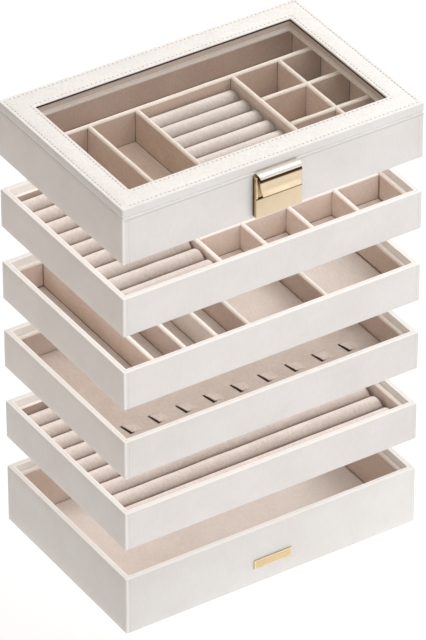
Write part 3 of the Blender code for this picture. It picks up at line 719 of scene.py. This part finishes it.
def slab(name, x0, x1, y0, y1, z0, z1, mat, body, bevel=0.3,
         segments=3, side=()):
    bm = bmesh.new()
    bmesh.ops.create_cube(bm, size=1.0)
    for v in bm.verts:
        v.co.x = (x0 if v.co.x < 0 else x1) * MM
        v.co.y = (y0 if v.co.y < 0 else y1) * MM
        v.co.z = (z0 if v.co.z < 0 else z1) * MM
    if bevel:
        bmesh.ops.bevel(bm, geom=list(bm.edges), offset=bevel * MM,
                        segments=segments, profile=0.5, affect="EDGES")
    if side:                     # painted shade: the side faces at the ends take the second, darker material
        bm.normal_update()
        for f in bm.faces:
            f.material_index = int(any(f.normal.x * s > 0.9 for s in side))
    return make(name, bm, mat, body, 50)


# ================================================================ trays
# bottom tray
case("deep", Z_DEEP, H_DEEP, M_LEATHER_DEEP, plinth=False, seed=1)
liner("deep", Z_DEEP, H_DEEP)
floor_pad("deep", Z_DEEP)
sheet = skin("deep_felt", [rloop(136, 88, 0.0, 1.0), rloop(136, 88, 1.2, 1.0)],
             M_FELT, "deep_tray")
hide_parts("deep_base_sheet")

pz = Z_DEEP + H_DEEP - 34.5
plate = slab("nameplate_bare", -18.2, 18.2, -93.3, -92.25, pz - 4.3, pz + 4.3,
             M_GOLD, "deep_tray", 0.35)
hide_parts("deep_nameplate")
slab("nameplate_field", -16.8, 16.8, -93.42, -93.2, pz - 3.0, pz + 3.0,
     M_GOLD_DULL, "deep_tray", 0.08)

# roll tray
case("roll", Z_ROLL, H_TRAY, M_LEATHER, seed=2)
liner("roll", Z_ROLL, H_TRAY)
zf = floor_pad("roll", Z_ROLL)
rolls("roll_ring_rolls", "roll_tray", -INX + 1.0, INX - 5.0, -INY + GAP,
      INY - GAP, zf, Z_ROLL + H_TRAY - RECESS - 4.3, 9, er=3.4)

painted_rear_shade("roll", -INX + 0.3, INX - 0.3, zf, Z_ROLL + H_TRAY - RECESS - 0.9)

# necklace tray
case("necklace", Z_NECK, H_TRAY, M_LEATHER, seed=3)
liner("necklace", Z_NECK, H_TRAY)
zf = floor_pad("necklace", Z_NECK, pad_t=2.0)


def hook_tabs():
    """Tongues cut in the velvet floor, their free ends lifted."""
    bm = bmesh.new()
    nx, ny = 10, 6
    for k in range(9):
        xl = -140 + 33.0 + k * 26.05
        yl, yh = -92 + 50.0 - 5.5, -92 + 50.0 + 5.5
        lift = 1.45 + 0.3 * noise.noise(Vector((k * 1.7, 0.3, 0.0)))
        top, bot = [], []
        for j in range(ny + 1):
            rt, rb = [], []
            for i in range(nx + 1):
                u, v = i / nx, j / ny
                x = xl + 1.5 - 2.3 * v + 10.5 * u
                y = yl + (yh - yl) * v
                rise = lift * (1 - u) ** 1.6 * (1.0 - 0.4 * v)
                edge = min(v, 1 - v) * (yh - yl)
                soft = 0.35 * math.exp(-edge / 0.5)
                z = zf + 0.05 + rise - soft * (1 - u)
                rt.append(bm.verts.new(Vector((x, y, z)) * MM))
                rb.append(bm.verts.new(Vector((x, y, max(
                    zf - 0.2, z - 0.75 + 0.4 * soft))) * MM))
            top.append(rt)
            bot.append(rb)
        for j in range(ny):
            for i in range(nx):
                bm.faces.new((top[j][i], top[j][i + 1], top[j + 1][i + 1],
                              top[j + 1][i]))
                bm.faces.new((bot[j][i], bot[j + 1][i], bot[j + 1][i + 1],
                              bot[j][i + 1]))
        for i in range(nx):
            for r, s in ((0, 1), (ny, -1)):
                bm.faces.new((top[r][i], bot[r][i], bot[r][i + 1],
                              top[r][i + 1]))
        for j in range(ny):
            bm.faces.new((top[j][0], top[j + 1][0], bot[j + 1][0], bot[j][0]))
            bm.faces.new((top[j][nx], bot[j][nx], bot[j + 1][nx],
                          top[j + 1][nx]))
    ob = make("necklace_tabs", bm, M_TAB, "necklace_tray", 60)
    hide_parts("necklace_hook_strip")
    # dark patches at the slits that the tongues leave: painted shadow
    bm = bmesh.new()
    for k in range(9):
        xl = -140 + 33.0 + k * 26.05
        y0, y1 = -92 + 50.0 - 6.0, -92 + 50.0 + 6.3
        pts = [(xl - 0.2, y0 - 0.6), (xl + 3.6, y0 - 0.1), (xl + 0.1, y1),
               (xl - 2.3, y1 + 0.6), (xl - 2.0, y1 - 2.4)]
        bm.faces.new([bm.verts.new(Vector((x, y, zf + 0.17)) * MM)
                      for x, y in pts])
    make("necklace_slit_shadows", bm, M_SLIT_SHADOW, "necklace_tray", 60)


hook_tabs()

# bracelet tray
case("bracelet", Z_BRAC, H_TRAY, M_LEATHER, seed=4)
liner("bracelet", Z_BRAC, H_TRAY)
zf = floor_pad("bracelet", Z_BRAC)
zt = Z_BRAC + H_TRAY - RECESS
for i, v in enumerate((35.3, 65.0, 94.5, 124.6, 198.3)):
    divider("bracelet_divider_%d" % (i + 1), "Y", -140 + v, -INY + 0.35,
            INY - 0.35, zf, zt, "bracelet_tray", drop=0.15)

painted_corner_shade("bracelet", bays([-140 + v for v in (35.3, 65.0, 94.5, 124.6, 198.3)],
                          -INX, INX), [(-INY, INY)], zf, zt - 2.0)

# grid tray
case("grid", Z_GRID, H_TRAY, M_LEATHER, seed=5)
liner("grid", Z_GRID, H_TRAY)
zf = floor_pad("grid", Z_GRID)
zt = Z_GRID + H_TRAY - RECESS
GX = [-140 + v for v in (98.7, 141.0, 184.5, 228.2)]
GY = [-INY + 2 * INY * k / 4 for k in (1, 2, 3)]
for i, x in enumerate(GX):
    divider("grid_divider_%d" % (i + 1), "Y", x, -INY + 0.35, INY - 0.35, zf,
            zt, "grid_tray", drop=0.1)
for i, y in enumerate(GY):
    divider("grid_row_%d" % (i + 1), "X", y, GX[0] + 2.3, INX - 0.35, zf, zt,
            "grid_tray", drop=0.3)
rolls("grid_ring_rolls", "grid_tray", -INX + GAP, GX[0] - 5.2, -INY + GAP,
      INY - GAP, zf, zt - 1.2, 9, er=2.6)

painted_rear_shade("grid", -INX + 0.3, GX[0] - 2.4, zf, zt - 0.7)
painted_corner_shade("grid", bays(GX, -INX, INX)[1:], bays(GY, -INY, INY), zf, zt - 2.2)

# top tray
case("top", Z_TOP, H_TOP, M_LEATHER_TOP, base_t=4.0, seed=6)
liner("top", Z_TOP, H_TOP, base_t=4.0)
zf = floor_pad("top", Z_TOP, base_t=4.0, pad_t=2.0)
zt = Z_SEAM - RECESS
LY = -92 + 135.5
RY = (-92 + 52.3, -92 + 94.0)
TX = [-140 + v for v in (53.4, 97.5, 187.2, 231.5)]
divider("top_long_divider", "X", LY, -INX + 0.35, INX - 0.35, zf, zt,
        "top_tray", drop=0.05)
for i, x in enumerate(TX):
    divider("top_divider_%d" % (i + 1), "Y", x, -INY + 0.35, LY - 2.2, zf, zt,
            "top_tray", drop=0.2)
for i, y in enumerate(RY):
    divider("top_row_%d" % (i + 1), "X", y, TX[2] + 2.2, INX - 0.35, zf, zt,
            "top_tray", drop=0.4)
cols = bays(TX, -INX, INX)
painted_corner_shade("top", cols[:3], [(-INY, LY - 2)], zf, zt - 2.2)
painted_corner_shade("top", cols[3:], bays(RY, -INY, LY - 2), zf, zt - 2.4)
painted_corner_shade("top", [(-INX, INX)], [(LY + 2, INY)], zf, zt - 2.2)
rolls("top_ring_rolls", "top_tray", TX[1] + 2.3, TX[2] - 4.0,
      LY - 2.3 - 7 * 17.3, LY - 2.3, zf, zt - 8.0, 7)


# ================================================================ lid
def lid():
    T = Z_LT
    loops, mats = [], []

    def both(a, z, r=None):
        loops.append(rloop(140 - a, 92 - a, z, max(0.5, 1.5 - a)
                           if r is None else r))

    for a, z in arc(0.7, Z_LID + 0.7, 0.7, 270, 180, 3):
        both(a, z)
    both(0.0, Z_LID + LID_T * 0.45)
    for a, z in arc(0.9, T - 0.9, 0.9, 180, 90, 5):
        both(a, z)
    both(1.7, T + 0.03)
    for a, dz in ((2.6, 0.0), (3.0, -0.07), (3.5, -0.22), (4.0, -0.07),
                  (4.6, 0.03), (8.0, 0.12), (12.0, 0.12)):
        both(a, T + dz)

    def win(e, z, r):
        loops.append(rloop(WIN_X + e, WIN_Y + e, z, r))

    for e, dz in ((6.0, 0.08), (4.4, 0.03), (3.6, -0.07), (3.1, -0.22),
                  (2.6, -0.07), (2.1, 0.0)):
        win(e, T + dz, 1.2)
    for e, z in arc(1.1, T - 1.1, 1.1, 90, 180, 4):
        win(e, z, 0.9)
    win(0.0, T - 1.45, 0.6)
    win(4.4, T - 1.45, 0.6)
    win(4.4, Z_LID, 0.6)
    ob = skin("lid_leather_frame", loops, [M_LID, M_LID_TOP], "lid",
              ring=True, wob=0.10, mat_of=lambda r, i: int(9 <= r <= 30),
              seed=7)
    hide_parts("lid_frame")

    # dark ring under the leather's fold as painted shade in the gap, and the
    # pale bed of the pane
    for nm, mat, top, low in (("lid_pane_gap_shade", M_PANE_GAP_SHADE, 0.95, 2.4),
                              ("lid_pane_bed", M_BED, 2.4, 4.3)):
        skin(nm, [rloop(WIN_X + 0.6, WIN_Y + 0.6, T - top, 0.4),
                  rloop(WIN_X - 0.2, WIN_Y - 0.2, T - top, 0.4),
                  rloop(WIN_X - 0.2, WIN_Y - 0.2, T - low, 0.4),
                  rloop(WIN_X + 0.6, WIN_Y + 0.6, T - low, 0.4)],
             mat, "lid", ring=True)

    pane = slab("lid_pane", -WIN_X - 4.0, WIN_X + 4.0, -WIN_Y - 4.0,
                WIN_Y + 4.0, T - 3.5, T - 1.5, M_GLASS, "lid", 0.15,
                1)
    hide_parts("lid_glass")

    # velvet-covered inner frame with its stepped lower edge
    f1 = T - 4.05
    fx, fy = WIN_X - 0.6, WIN_Y - 0.6
    z0 = Z_LID

    def fr(e, z, r=0.4):
        return rloop(fx + e, fy + e, z, r)

    rows = [fr(4.8, f1), fr(0.5, f1), fr(0.1, f1 - 0.15), fr(0.0, f1 - 0.5),
            fr(0.0, z0 + 0.9), fr(-0.35, z0 + 0.75), fr(-0.45, z0 + 0.35),
            fr(-0.15, z0 + 0.1), fr(-0.15, z0 - 0.35), fr(-0.4, z0 - 0.55),
            fr(-1.0, z0 - 0.6), fr(-1.3, z0 - 0.75), fr(-1.4, z0 - 1.1),
            fr(-1.4, z0 - 2.5), fr(-1.25, z0 - 2.85), fr(-0.9, z0 - 3.0)]
    n_in = len(rows)
    rows += [rloop(140 - 6.5, 92 - 6.5, z0 - 3.0, 0.8),
             rloop(140 - 6.0, 92 - 6.0, z0 - 2.5, 0.8),
             rloop(140 - 6.0, 92 - 6.0, z0 - 0.3, 0.8),
             fr(4.8, z0 - 0.3)]
    # the step's edges take the lighter edge velvet: painted light
    ob = skin("lid_velvet_frame", rows, [M_LINER, M_EDGE], "lid", ring=True,
              mat_of=lambda r, i: int(r in (4, 5, 8, 9, 10, 11, 12, 13)))
    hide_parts("lid_inner_frame")


lid()


# ---------------------------------------------------------------- stitching
def stitch_row(name, hx, hy, z, pitch=4.0, long=2.6, wide=0.42, hole=0.5):
    thread, dots = bmesh.new(), bmesh.new()

    def add(cx, cy, ang, k):
        rot = Matrix.Rotation(ang + 0.05 * math.sin(k * 2.3), 4, "Z")
        m = (Matrix.Translation(Vector((cx, cy, z)) * MM) @ rot
             @ Matrix.Diagonal((long / 2 * MM, wide * MM, wide * 0.8 * MM,
                                1.0)))
        bmesh.ops.create_uvsphere(thread, u_segments=8, v_segments=5,
                                  radius=1.0, matrix=m)
        off = Vector((math.cos(ang), math.sin(ang), 0)) * pitch / 2
        m2 = Matrix.Translation((Vector((cx, cy, z + 0.14)) + off) * MM)
        bmesh.ops.create_circle(dots, cap_ends=True, segments=8,
                                radius=hole * MM, matrix=m2)

    for sy in (-1, 1):
        n = int(round(2 * (hx - 1.5) / pitch))
        for k in range(n):
            x = -hx + 1.5 + (k + 0.5) * 2 * (hx - 1.5) / n
            add(x, sy * hy, 0.0, k)
    for sx in (-1, 1):
        n = int(round(2 * (hy - 1.5) / pitch))
        for k in range(n):
            y = -hy + 1.5 + (k + 0.5) * 2 * (hy - 1.5) / n
            add(sx * hx, y, math.pi / 2, k + 7)
    make(name + "_thread", thread, M_THREAD, "lid", 60)
    make(name + "_holes", dots, M_HOLE, "lid", 60)


stitch_row("stitch_outer", 140 - 3.5, 92 - 3.5, Z_LT - 0.12)
stitch_row("stitch_window", WIN_X + 3.1, WIN_Y + 3.1, Z_LT - 0.12)


# ================================================================ latch
def spline(points, n=5):
    out = []
    last = len(points) - 1
    for i in range(last):
        p0 = points[max(i - 1, 0)]
        p1, p2 = points[i], points[i + 1]
        p3 = points[min(i + 2, last)]
        for k in range(n):
            t = k / n
            out.append(tuple(
                0.5 * (2 * p1[c] + (p2[c] - p0[c]) * t
                       + (2 * p0[c] - 5 * p1[c] + 4 * p2[c] - p3[c]) * t * t
                       + (3 * p1[c] - p0[c] - 3 * p2[c] + p3[c]) * t ** 3)
                for c in (0, 1)))
    out.append(points[-1])
    return out


def bent_sheet(name, path, thick, half, mats, body, taper=None, bevel=0.18):
    """Sheet bent along (out, down) points in mm, down from the lid's top."""
    left, right = [], []
    n = len(path)
    for i, (a, b) in enumerate(path):
        p, q = path[max(i - 1, 0)], path[min(i + 1, n - 1)]
        du, dv = q[0] - p[0], q[1] - p[1]
        m = math.hypot(du, dv)
        nu, nv = -dv / m, du / m
        left.append((a + nu * thick / 2, b + nv * thick / 2))
        right.append((a - nu * thick / 2, b - nv * thick / 2))
    outline = left + right[::-1]
    bm = bmesh.new()

    def sh(d):
        if taper is None:
            return 0.0
        f = min(1.0, max(0.0, (d - taper[0]) / (taper[1] - taper[0])))
        return taper[2] * f * f * (3 - 2 * f)

    v0 = [bm.verts.new(Vector((-half + sh(d), -92 - u, Z_LT - d)) * MM)
          for u, d in outline]
    v1 = [bm.verts.new(Vector((half - sh(d), -92 - u, Z_LT - d)) * MM)
          for u, d in outline]
    bm.faces.new(v0)
    bm.faces.new(v1[::-1])
    m = len(outline)
    for i in range(m):
        j = (i + 1) % m
        bm.faces.new((v0[i], v1[i], v1[j], v0[j]))
    ob = make(name, bm, mats, body, 35)
    mod = ob.modifiers.new("edges", "BEVEL")
    mod.width = bevel * MM
    mod.segments = 3
    mod.limit_method = "ANGLE"
    mod.angle_limit = math.radians(45)
    return ob


def cylinder(name, r, x0, x1, y, z, mat, body, seg=32):
    bm = bmesh.new()
    m = (Matrix.Translation(Vector(((x0 + x1) / 2, y, z)) * MM)
         @ Matrix.Rotation(math.pi / 2, 4, "Y"))
    bmesh.ops.create_cone(bm, cap_ends=True, segments=seg, radius1=r * MM,
                          radius2=r * MM, depth=(x1 - x0) * MM, matrix=m)
    return make(name, bm, mat, body, 40)


def latch():
    bottom, step, top = Z_LT - 47.6, Z_LT - 29.0, Z_LT - 10.6
    lower = slab("latch_plate", -21.3, 21.3, -97.7, -92.25, bottom, step,
                 [M_GOLD_LOW, M_GOLD_SIDE_SHADE], "top_tray", 0.4,
                 side=(-1, 1))
    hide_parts("latch_base")
    slab("latch_back", -21.3, 21.3, -93.4, -92.25, step - 0.5, top,
         M_GOLD_BACK, "top_tray", 0.15)
    slab("latch_back_step", -19.9, 19.9, -97.0, -93.2, step - 0.4,
         Z_LT - 15.8, M_GOLD_BACK, "top_tray", 0.3)
    for s in (-1, 1):
        a, b = sorted((s * 21.3, s * 19.7))
        slab("latch_ear_%s" % ("left" if s < 0 else "right"), a, b, -97.7,
             -92.4, step - 0.6, top, [M_GOLD, M_GOLD_SIDE_SHADE], "top_tray",
             0.25, side=(s,))
    pin = cylinder("latch_pivot", 0.75, -21.3, 21.3, -96.2, Z_LT - 13.4,
                   M_GOLD_DULL, "top_tray")
    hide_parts("latch_pin")
    path = spline([(4.6, 11.75), (6.2, 11.8), (7.3, 12.2), (8.0, 13.2),
                   (8.0, 15.2), (7.75, 17.5), (7.6, 19.5), (7.8, 21.5),
                   (8.5, 23.6), (10.1, 26.4)], 6)
    flap = bent_sheet("latch_flap_sheet", path, 0.9, 19.4, M_GOLD_FLAP,
                      "latch_flap_body", taper=(13.0, 26.4, 1.6))
    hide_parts("latch_flap")
    cylinder("latch_flap_tube", 1.7, -19.35, 19.35, -96.2, Z_LT - 13.4,
             M_GOLD_DULL, "latch_flap_body")
    tz = LID_T + 0.3 + 0.55
    hood = [(-4.5, tz), (0.0, tz), (2.6, tz), (5.2, tz)]
    for i in range(1, 13):
        a = math.radians(56) * i / 12
        hood.append((5.2 + 4.6 * math.sin(a), tz + 4.6 * (1 - math.cos(a))))
    ob = bent_sheet("latch_hood", hood, 1.1, 19.3, M_GOLD_HOOD, "lid",
                    bevel=0.25)
    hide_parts("lid_catch")


latch()


# ================================================================ rear hinges
def hinge(side, cx):
    yc, zc = 92 + 2.6, Z_SEAM + 0.15
    half, seg = 14.0, 28.0 / 5
    for part, lo, hi, body in (("box_leaf", zc - 13.0, zc - 2.45, "top_tray"),
                               ("lid_leaf", zc + 2.45, zc + 6.2, "lid")):
        leaf = slab("hinge_%s_%s_plate" % (side, part), cx - half, cx + half,
                    92.3, 93.3, lo, hi, M_GOLD_DULL, body, 0.2)
        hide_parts("hinge_%s_%s" % (side, part))
        up = part == "lid_leaf"
        for k in ((1, 3) if up else (0, 2, 4)):
            a = cx - half + k * seg + (0.15 if k else 0)
            b = cx - half + (k + 1) * seg - (0.15 if k < 4 else 0)
            cylinder("hinge_%s_%s_knuckle_%d" % (side, part, k), 2.2, a, b,
                     yc, zc, M_GOLD_DULL, body)
            w0, w1 = (zc + 0.3, zc + 3.2) if up else (zc - 3.2, zc - 0.3)
            slab("hinge_%s_%s_web_%d" % (side, part, k), a, b, 92.35, 93.25,
                 w0, w1, M_GOLD_DULL, body, 0.05)
        for dx in (-9.0, 9.0):
            zz = (zc + 4.35) if up else (zc - 8.0)
            bm = bmesh.new()
            m = Matrix.Translation(Vector((cx + dx, 93.3, zz)) * MM)
            bmesh.ops.create_uvsphere(bm, u_segments=20, v_segments=10,
                                      radius=1.0, matrix=m @ Matrix.Diagonal(
                                          (1.5 * MM, 0.55 * MM, 1.5 * MM, 1)))
            make("hinge_%s_%s_screw_%s" % (side, part,
                                           "a" if dx < 0 else "b"), bm,
                 M_GOLD_DULL, body, 60)
            # dark slab in each screw's slot: painted shade
            slab("hinge_%s_%s_slot_%s" % (side, part,
                                          "a" if dx < 0 else "b"),
                 cx + dx - 1.1, cx + dx + 1.1, 93.6, 93.9, zz - 0.18,
                 zz + 0.18, M_SCREW_SLOT, body, 0.0)
    pin = cylinder("hinge_%s_rod" % side, 0.9, cx - half, cx + half, yc, zc,
                   M_GOLD_DULL, "top_tray")
    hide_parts("hinge_%s_pin" % side)


hinge("left", -75)
hinge("right", 75)


# ================================================================ studio
def stage_plane(name, size, loc, rot, mat):
    me = bpy.data.meshes.new(name)
    s = size
    me.from_pydata([(-s, -s, 0), (s, -s, 0), (s, s, 0), (-s, s, 0)], [],
                   [(0, 1, 2, 3)])
    ob = bpy.data.objects.new(name, me)
    ob.location, ob.rotation_euler = loc, rot
    me.materials.append(mat)
    bpy.context.scene.collection.objects.link(ob)
    return ob


fm = bpy.data.materials.new("studio_floor")
fm.use_nodes = True
fb = fm.node_tree.nodes["Principled BSDF"]
fb.inputs["Base Color"].default_value = (0.93, 0.94, 0.955, 1)
fb.inputs["Roughness"].default_value = 0.9
fb.inputs["Specular IOR Level"].default_value = 0.1
fb.inputs["Emission Color"].default_value = (1, 1, 1, 1)
fb.inputs["Emission Strength"].default_value = 0.12
floor = stage_plane("floor", 6.0, (0, 0, -0.0002), (0, 0, 0), fm)


def area(name, energy, size, loc, target, colour=(1, 1, 1), lit=None,
         shade=True, unshaded=False):
    """Soft box; lit gives the only objects that it lights and that shade it,
    so each lifted tray is lit as if it lay alone on the table."""
    d = bpy.data.lights.new(name, "AREA")
    d.energy, d.shape, d.size, d.size_y = energy, "RECTANGLE", size[0], size[1]
    d.color = colour
    ob = bpy.data.objects.new(name, d)
    ob.location = loc
    v = Vector(target) - Vector(loc)
    ob.rotation_euler = v.to_track_quat("-Z", "Y").to_euler()
    bpy.context.scene.collection.objects.link(ob)
    if lit is not None:
        for kind in ("receiver", "blocker") if shade else ("receiver",):
            c = bpy.data.collections.new("%s_%s" % (name, kind))
            for o in (shade if kind == "blocker" and shade is not True
                      else lit):
                c.objects.link(o)
            setattr(ob.light_linking, kind + "_collection", c)
    if unshaded:
        c = bpy.data.collections.new(name + "_blocker")
        c.objects.link(floor)
        ob.light_linking.blocker_collection = c
    return ob


SOFT_E = {"top": 18, "grid": 41, "bracelet": 42, "deep": 23}
GROUPS = {"deep": ("deep_tray",), "roll": ("roll_tray",),
          "necklace": ("necklace_tray",), "bracelet": ("bracelet_tray",),
          "grid": ("grid_tray",), "top": ("top_tray", "lid",
                                          "latch_flap_body")}
KEY_AT = (2.25, 1.25, 2.75)
KEY_E = {"top": 87, "floor": 130}
sets = {k: [o for b in v for o in PIECES[b]] for k, v in GROUPS.items()}
sets["floor"] = [floor]
pieces = [o for v in PIECES.values() for o in v]
metal = [o for o in pieces if o.name.startswith(("latch", "nameplate"))]
foam = [o for o in pieces if o.name.endswith("_foam")]
for k, objs in sets.items():
    area("key_" + k, KEY_E.get(k, 62), (1.8, 1.8), KEY_AT, (0, 0, 0.2),
         (0.955, 0.965, 1) if k == "floor" else (1, 0.985, 0.975), objs)
    if k == "floor":
        continue
    area("soft_" + k, SOFT_E.get(k, 36), (2.2, 2.0), (0.3, -2.0, 2.6),
         (0, 0, 0.2), (0.955, 0.98, 1.0),
         [o for o in objs if o not in metal and o not in foam], objs)
    own = [o for o in objs if o in foam]
    if own:
        area("rear_" + k, 84 if k == "top" else 63, (1.5, 1.5), KEY_AT,
             (0, 0, 0.2), (1, 0.985, 0.97), own, objs)
skins = [o for o in sets["top"] if o.name in ("top_shell", "lid_leather_frame")
         or o.name.startswith("stitch")]
area("soft_top_shell", 21, (2.2, 2.0), (0.3, -2.0, 2.6), (0, 0, 0.2),
     (0.94, 0.97, 1.0), skins, sets["top"])
area("left_grid", 10, (0.9, 0.9), (-1.6, -0.5, 1.5), (0, 0, 0.3),
     (1, 0.97, 0.94), [o for o in sets["grid"]
                       if o.name.endswith(("_board", "_lining"))],
     sets["grid"])
area("grid_pad_light", 7, (1.5, 1.5), (-0.5, -0.8, 2.6), (0, 0, 0.2),
     (1, 0.93, 0.9), [o for o in sets["grid"] if o.name == "grid_pad"],
     shade=False, unshaded=True)
area("left_roll", 10, (0.9, 0.9), (-1.6, -0.5, 1.3), (0, 0, 0.1),
     (1, 0.97, 0.94), [o for o in sets["roll"] if o.name.endswith("_lining")],
     sets["roll"])
area("left_bracelet", 1.8, (0.5, 0.5), (-0.72, -0.25, 0.75),
     (-0.07, 0, 0.22), (1, 0.98, 0.96),
     [o for o in sets["bracelet"] if o.name.endswith(
         ("_1_board", "_2_board", "_3_board"))],
     sets["bracelet"])
area("glow", 0.33, (0.25, 0.25), (0.40, -0.36, 0.10), (0.13, -0.092, 0.04),
     (0.95, 0.98, 1.0), [o for o in sets["deep"] if o.name == "deep_shell"],
     sets["deep"])
for k in ("top", "grid", "bracelet", "necklace"):
    area("left_warm_" + k, 1.7, (1.2, 1.2), (-2.4, -0.1, 0.9), (0, 0, 0.25),
         (1, 0.6, 0.28), [o for o in sets[k] if o.name == k + "_shell"],
         shade=False, unshaded=True)
area("top_edges", 3, (0.4, 0.4), (0.0, 0.0, 2.6), (0, 0, 0.4), (1, 0.98, 0.95),
     [o for o in sets["top"] if o.name.startswith("top_")
      and o.name.endswith("_board")], shade=False, unshaded=True)
area("fill", 16, (2.0, 1.4), (0.9, -2.8, 1.5), (0, 0, 0.3), (0.88, 0.92, 1.0),
     [o for o in pieces if o not in metal and o not in foam], shade=False)
area("card", 30, (3.0, 3.0), (0.9, 1.2, 2.2), (0, 0, 0.3), (1, 1, 1), metal,
     shade=False)
area("card_front", 56, (6.0, 3.0), (1.3, -3.2, 1.4), (0, 0, 0.3), (1, 1, 1),
     metal, shade=False)
area("top_well", 12, (2.0, 2.0), (-1.7, -0.5, 2.5), (0, 0, 0.3), (1, 0.97, 0.95),
     [o for o in sets["top"] if o.name.endswith(("_board", "_pad",
                                                 "_lining"))],
     shade=False, unshaded=True)

world = bpy.data.worlds.new("studio")
bpy.context.scene.world = world
world.use_nodes = True
bg = world.node_tree.nodes["Background"]
wt = world.node_tree
gen = wt.nodes.new("ShaderNodeTexCoord").outputs["Generated"]
sep = wt.nodes.new("ShaderNodeSeparateXYZ")
wt.links.new(gen, sep.inputs[0])
ramp = wt.nodes.new("ShaderNodeValToRGB")
wt.links.new(sep.outputs["X"], ramp.inputs["Fac"])
ramp.color_ramp.elements[0].position = 0.0
ramp.color_ramp.elements[0].color = (1.0, 0.88, 0.75, 1)
ramp.color_ramp.elements[1].position = 0.6
ramp.color_ramp.elements[1].color = (1.0, 0.97, 0.94, 1)
wt.links.new(ramp.outputs["Color"], bg.inputs[0])
bg.inputs[1].default_value = 0.36

cam_d = bpy.data.cameras.new("camera")
cam_d.sensor_width = 36
cam_d.lens = 5934.42 / 640 * 36
cam_d.clip_start, cam_d.clip_end = 0.1, 50
cam = bpy.data.objects.new("camera", cam_d)
cam.location = (-2.11368, -3.28283, 2.95171)
fwd = Vector((0.4429, 0.68732, -0.5757))
cam.rotation_euler = fwd.to_track_quat("-Z", "Y").to_euler()
bpy.context.scene.collection.objects.link(cam)
bpy.context.scene.camera = cam
bpy.context.scene.view_settings.view_transform = "Standard"
bpy.context.scene.cycles.use_denoising = True
bpy.context.scene.cycles.max_bounces = 10
bpy.context.scene.cycles.diffuse_bounces = 5
bpy.context.scene.cycles.transparent_max_bounces = 12
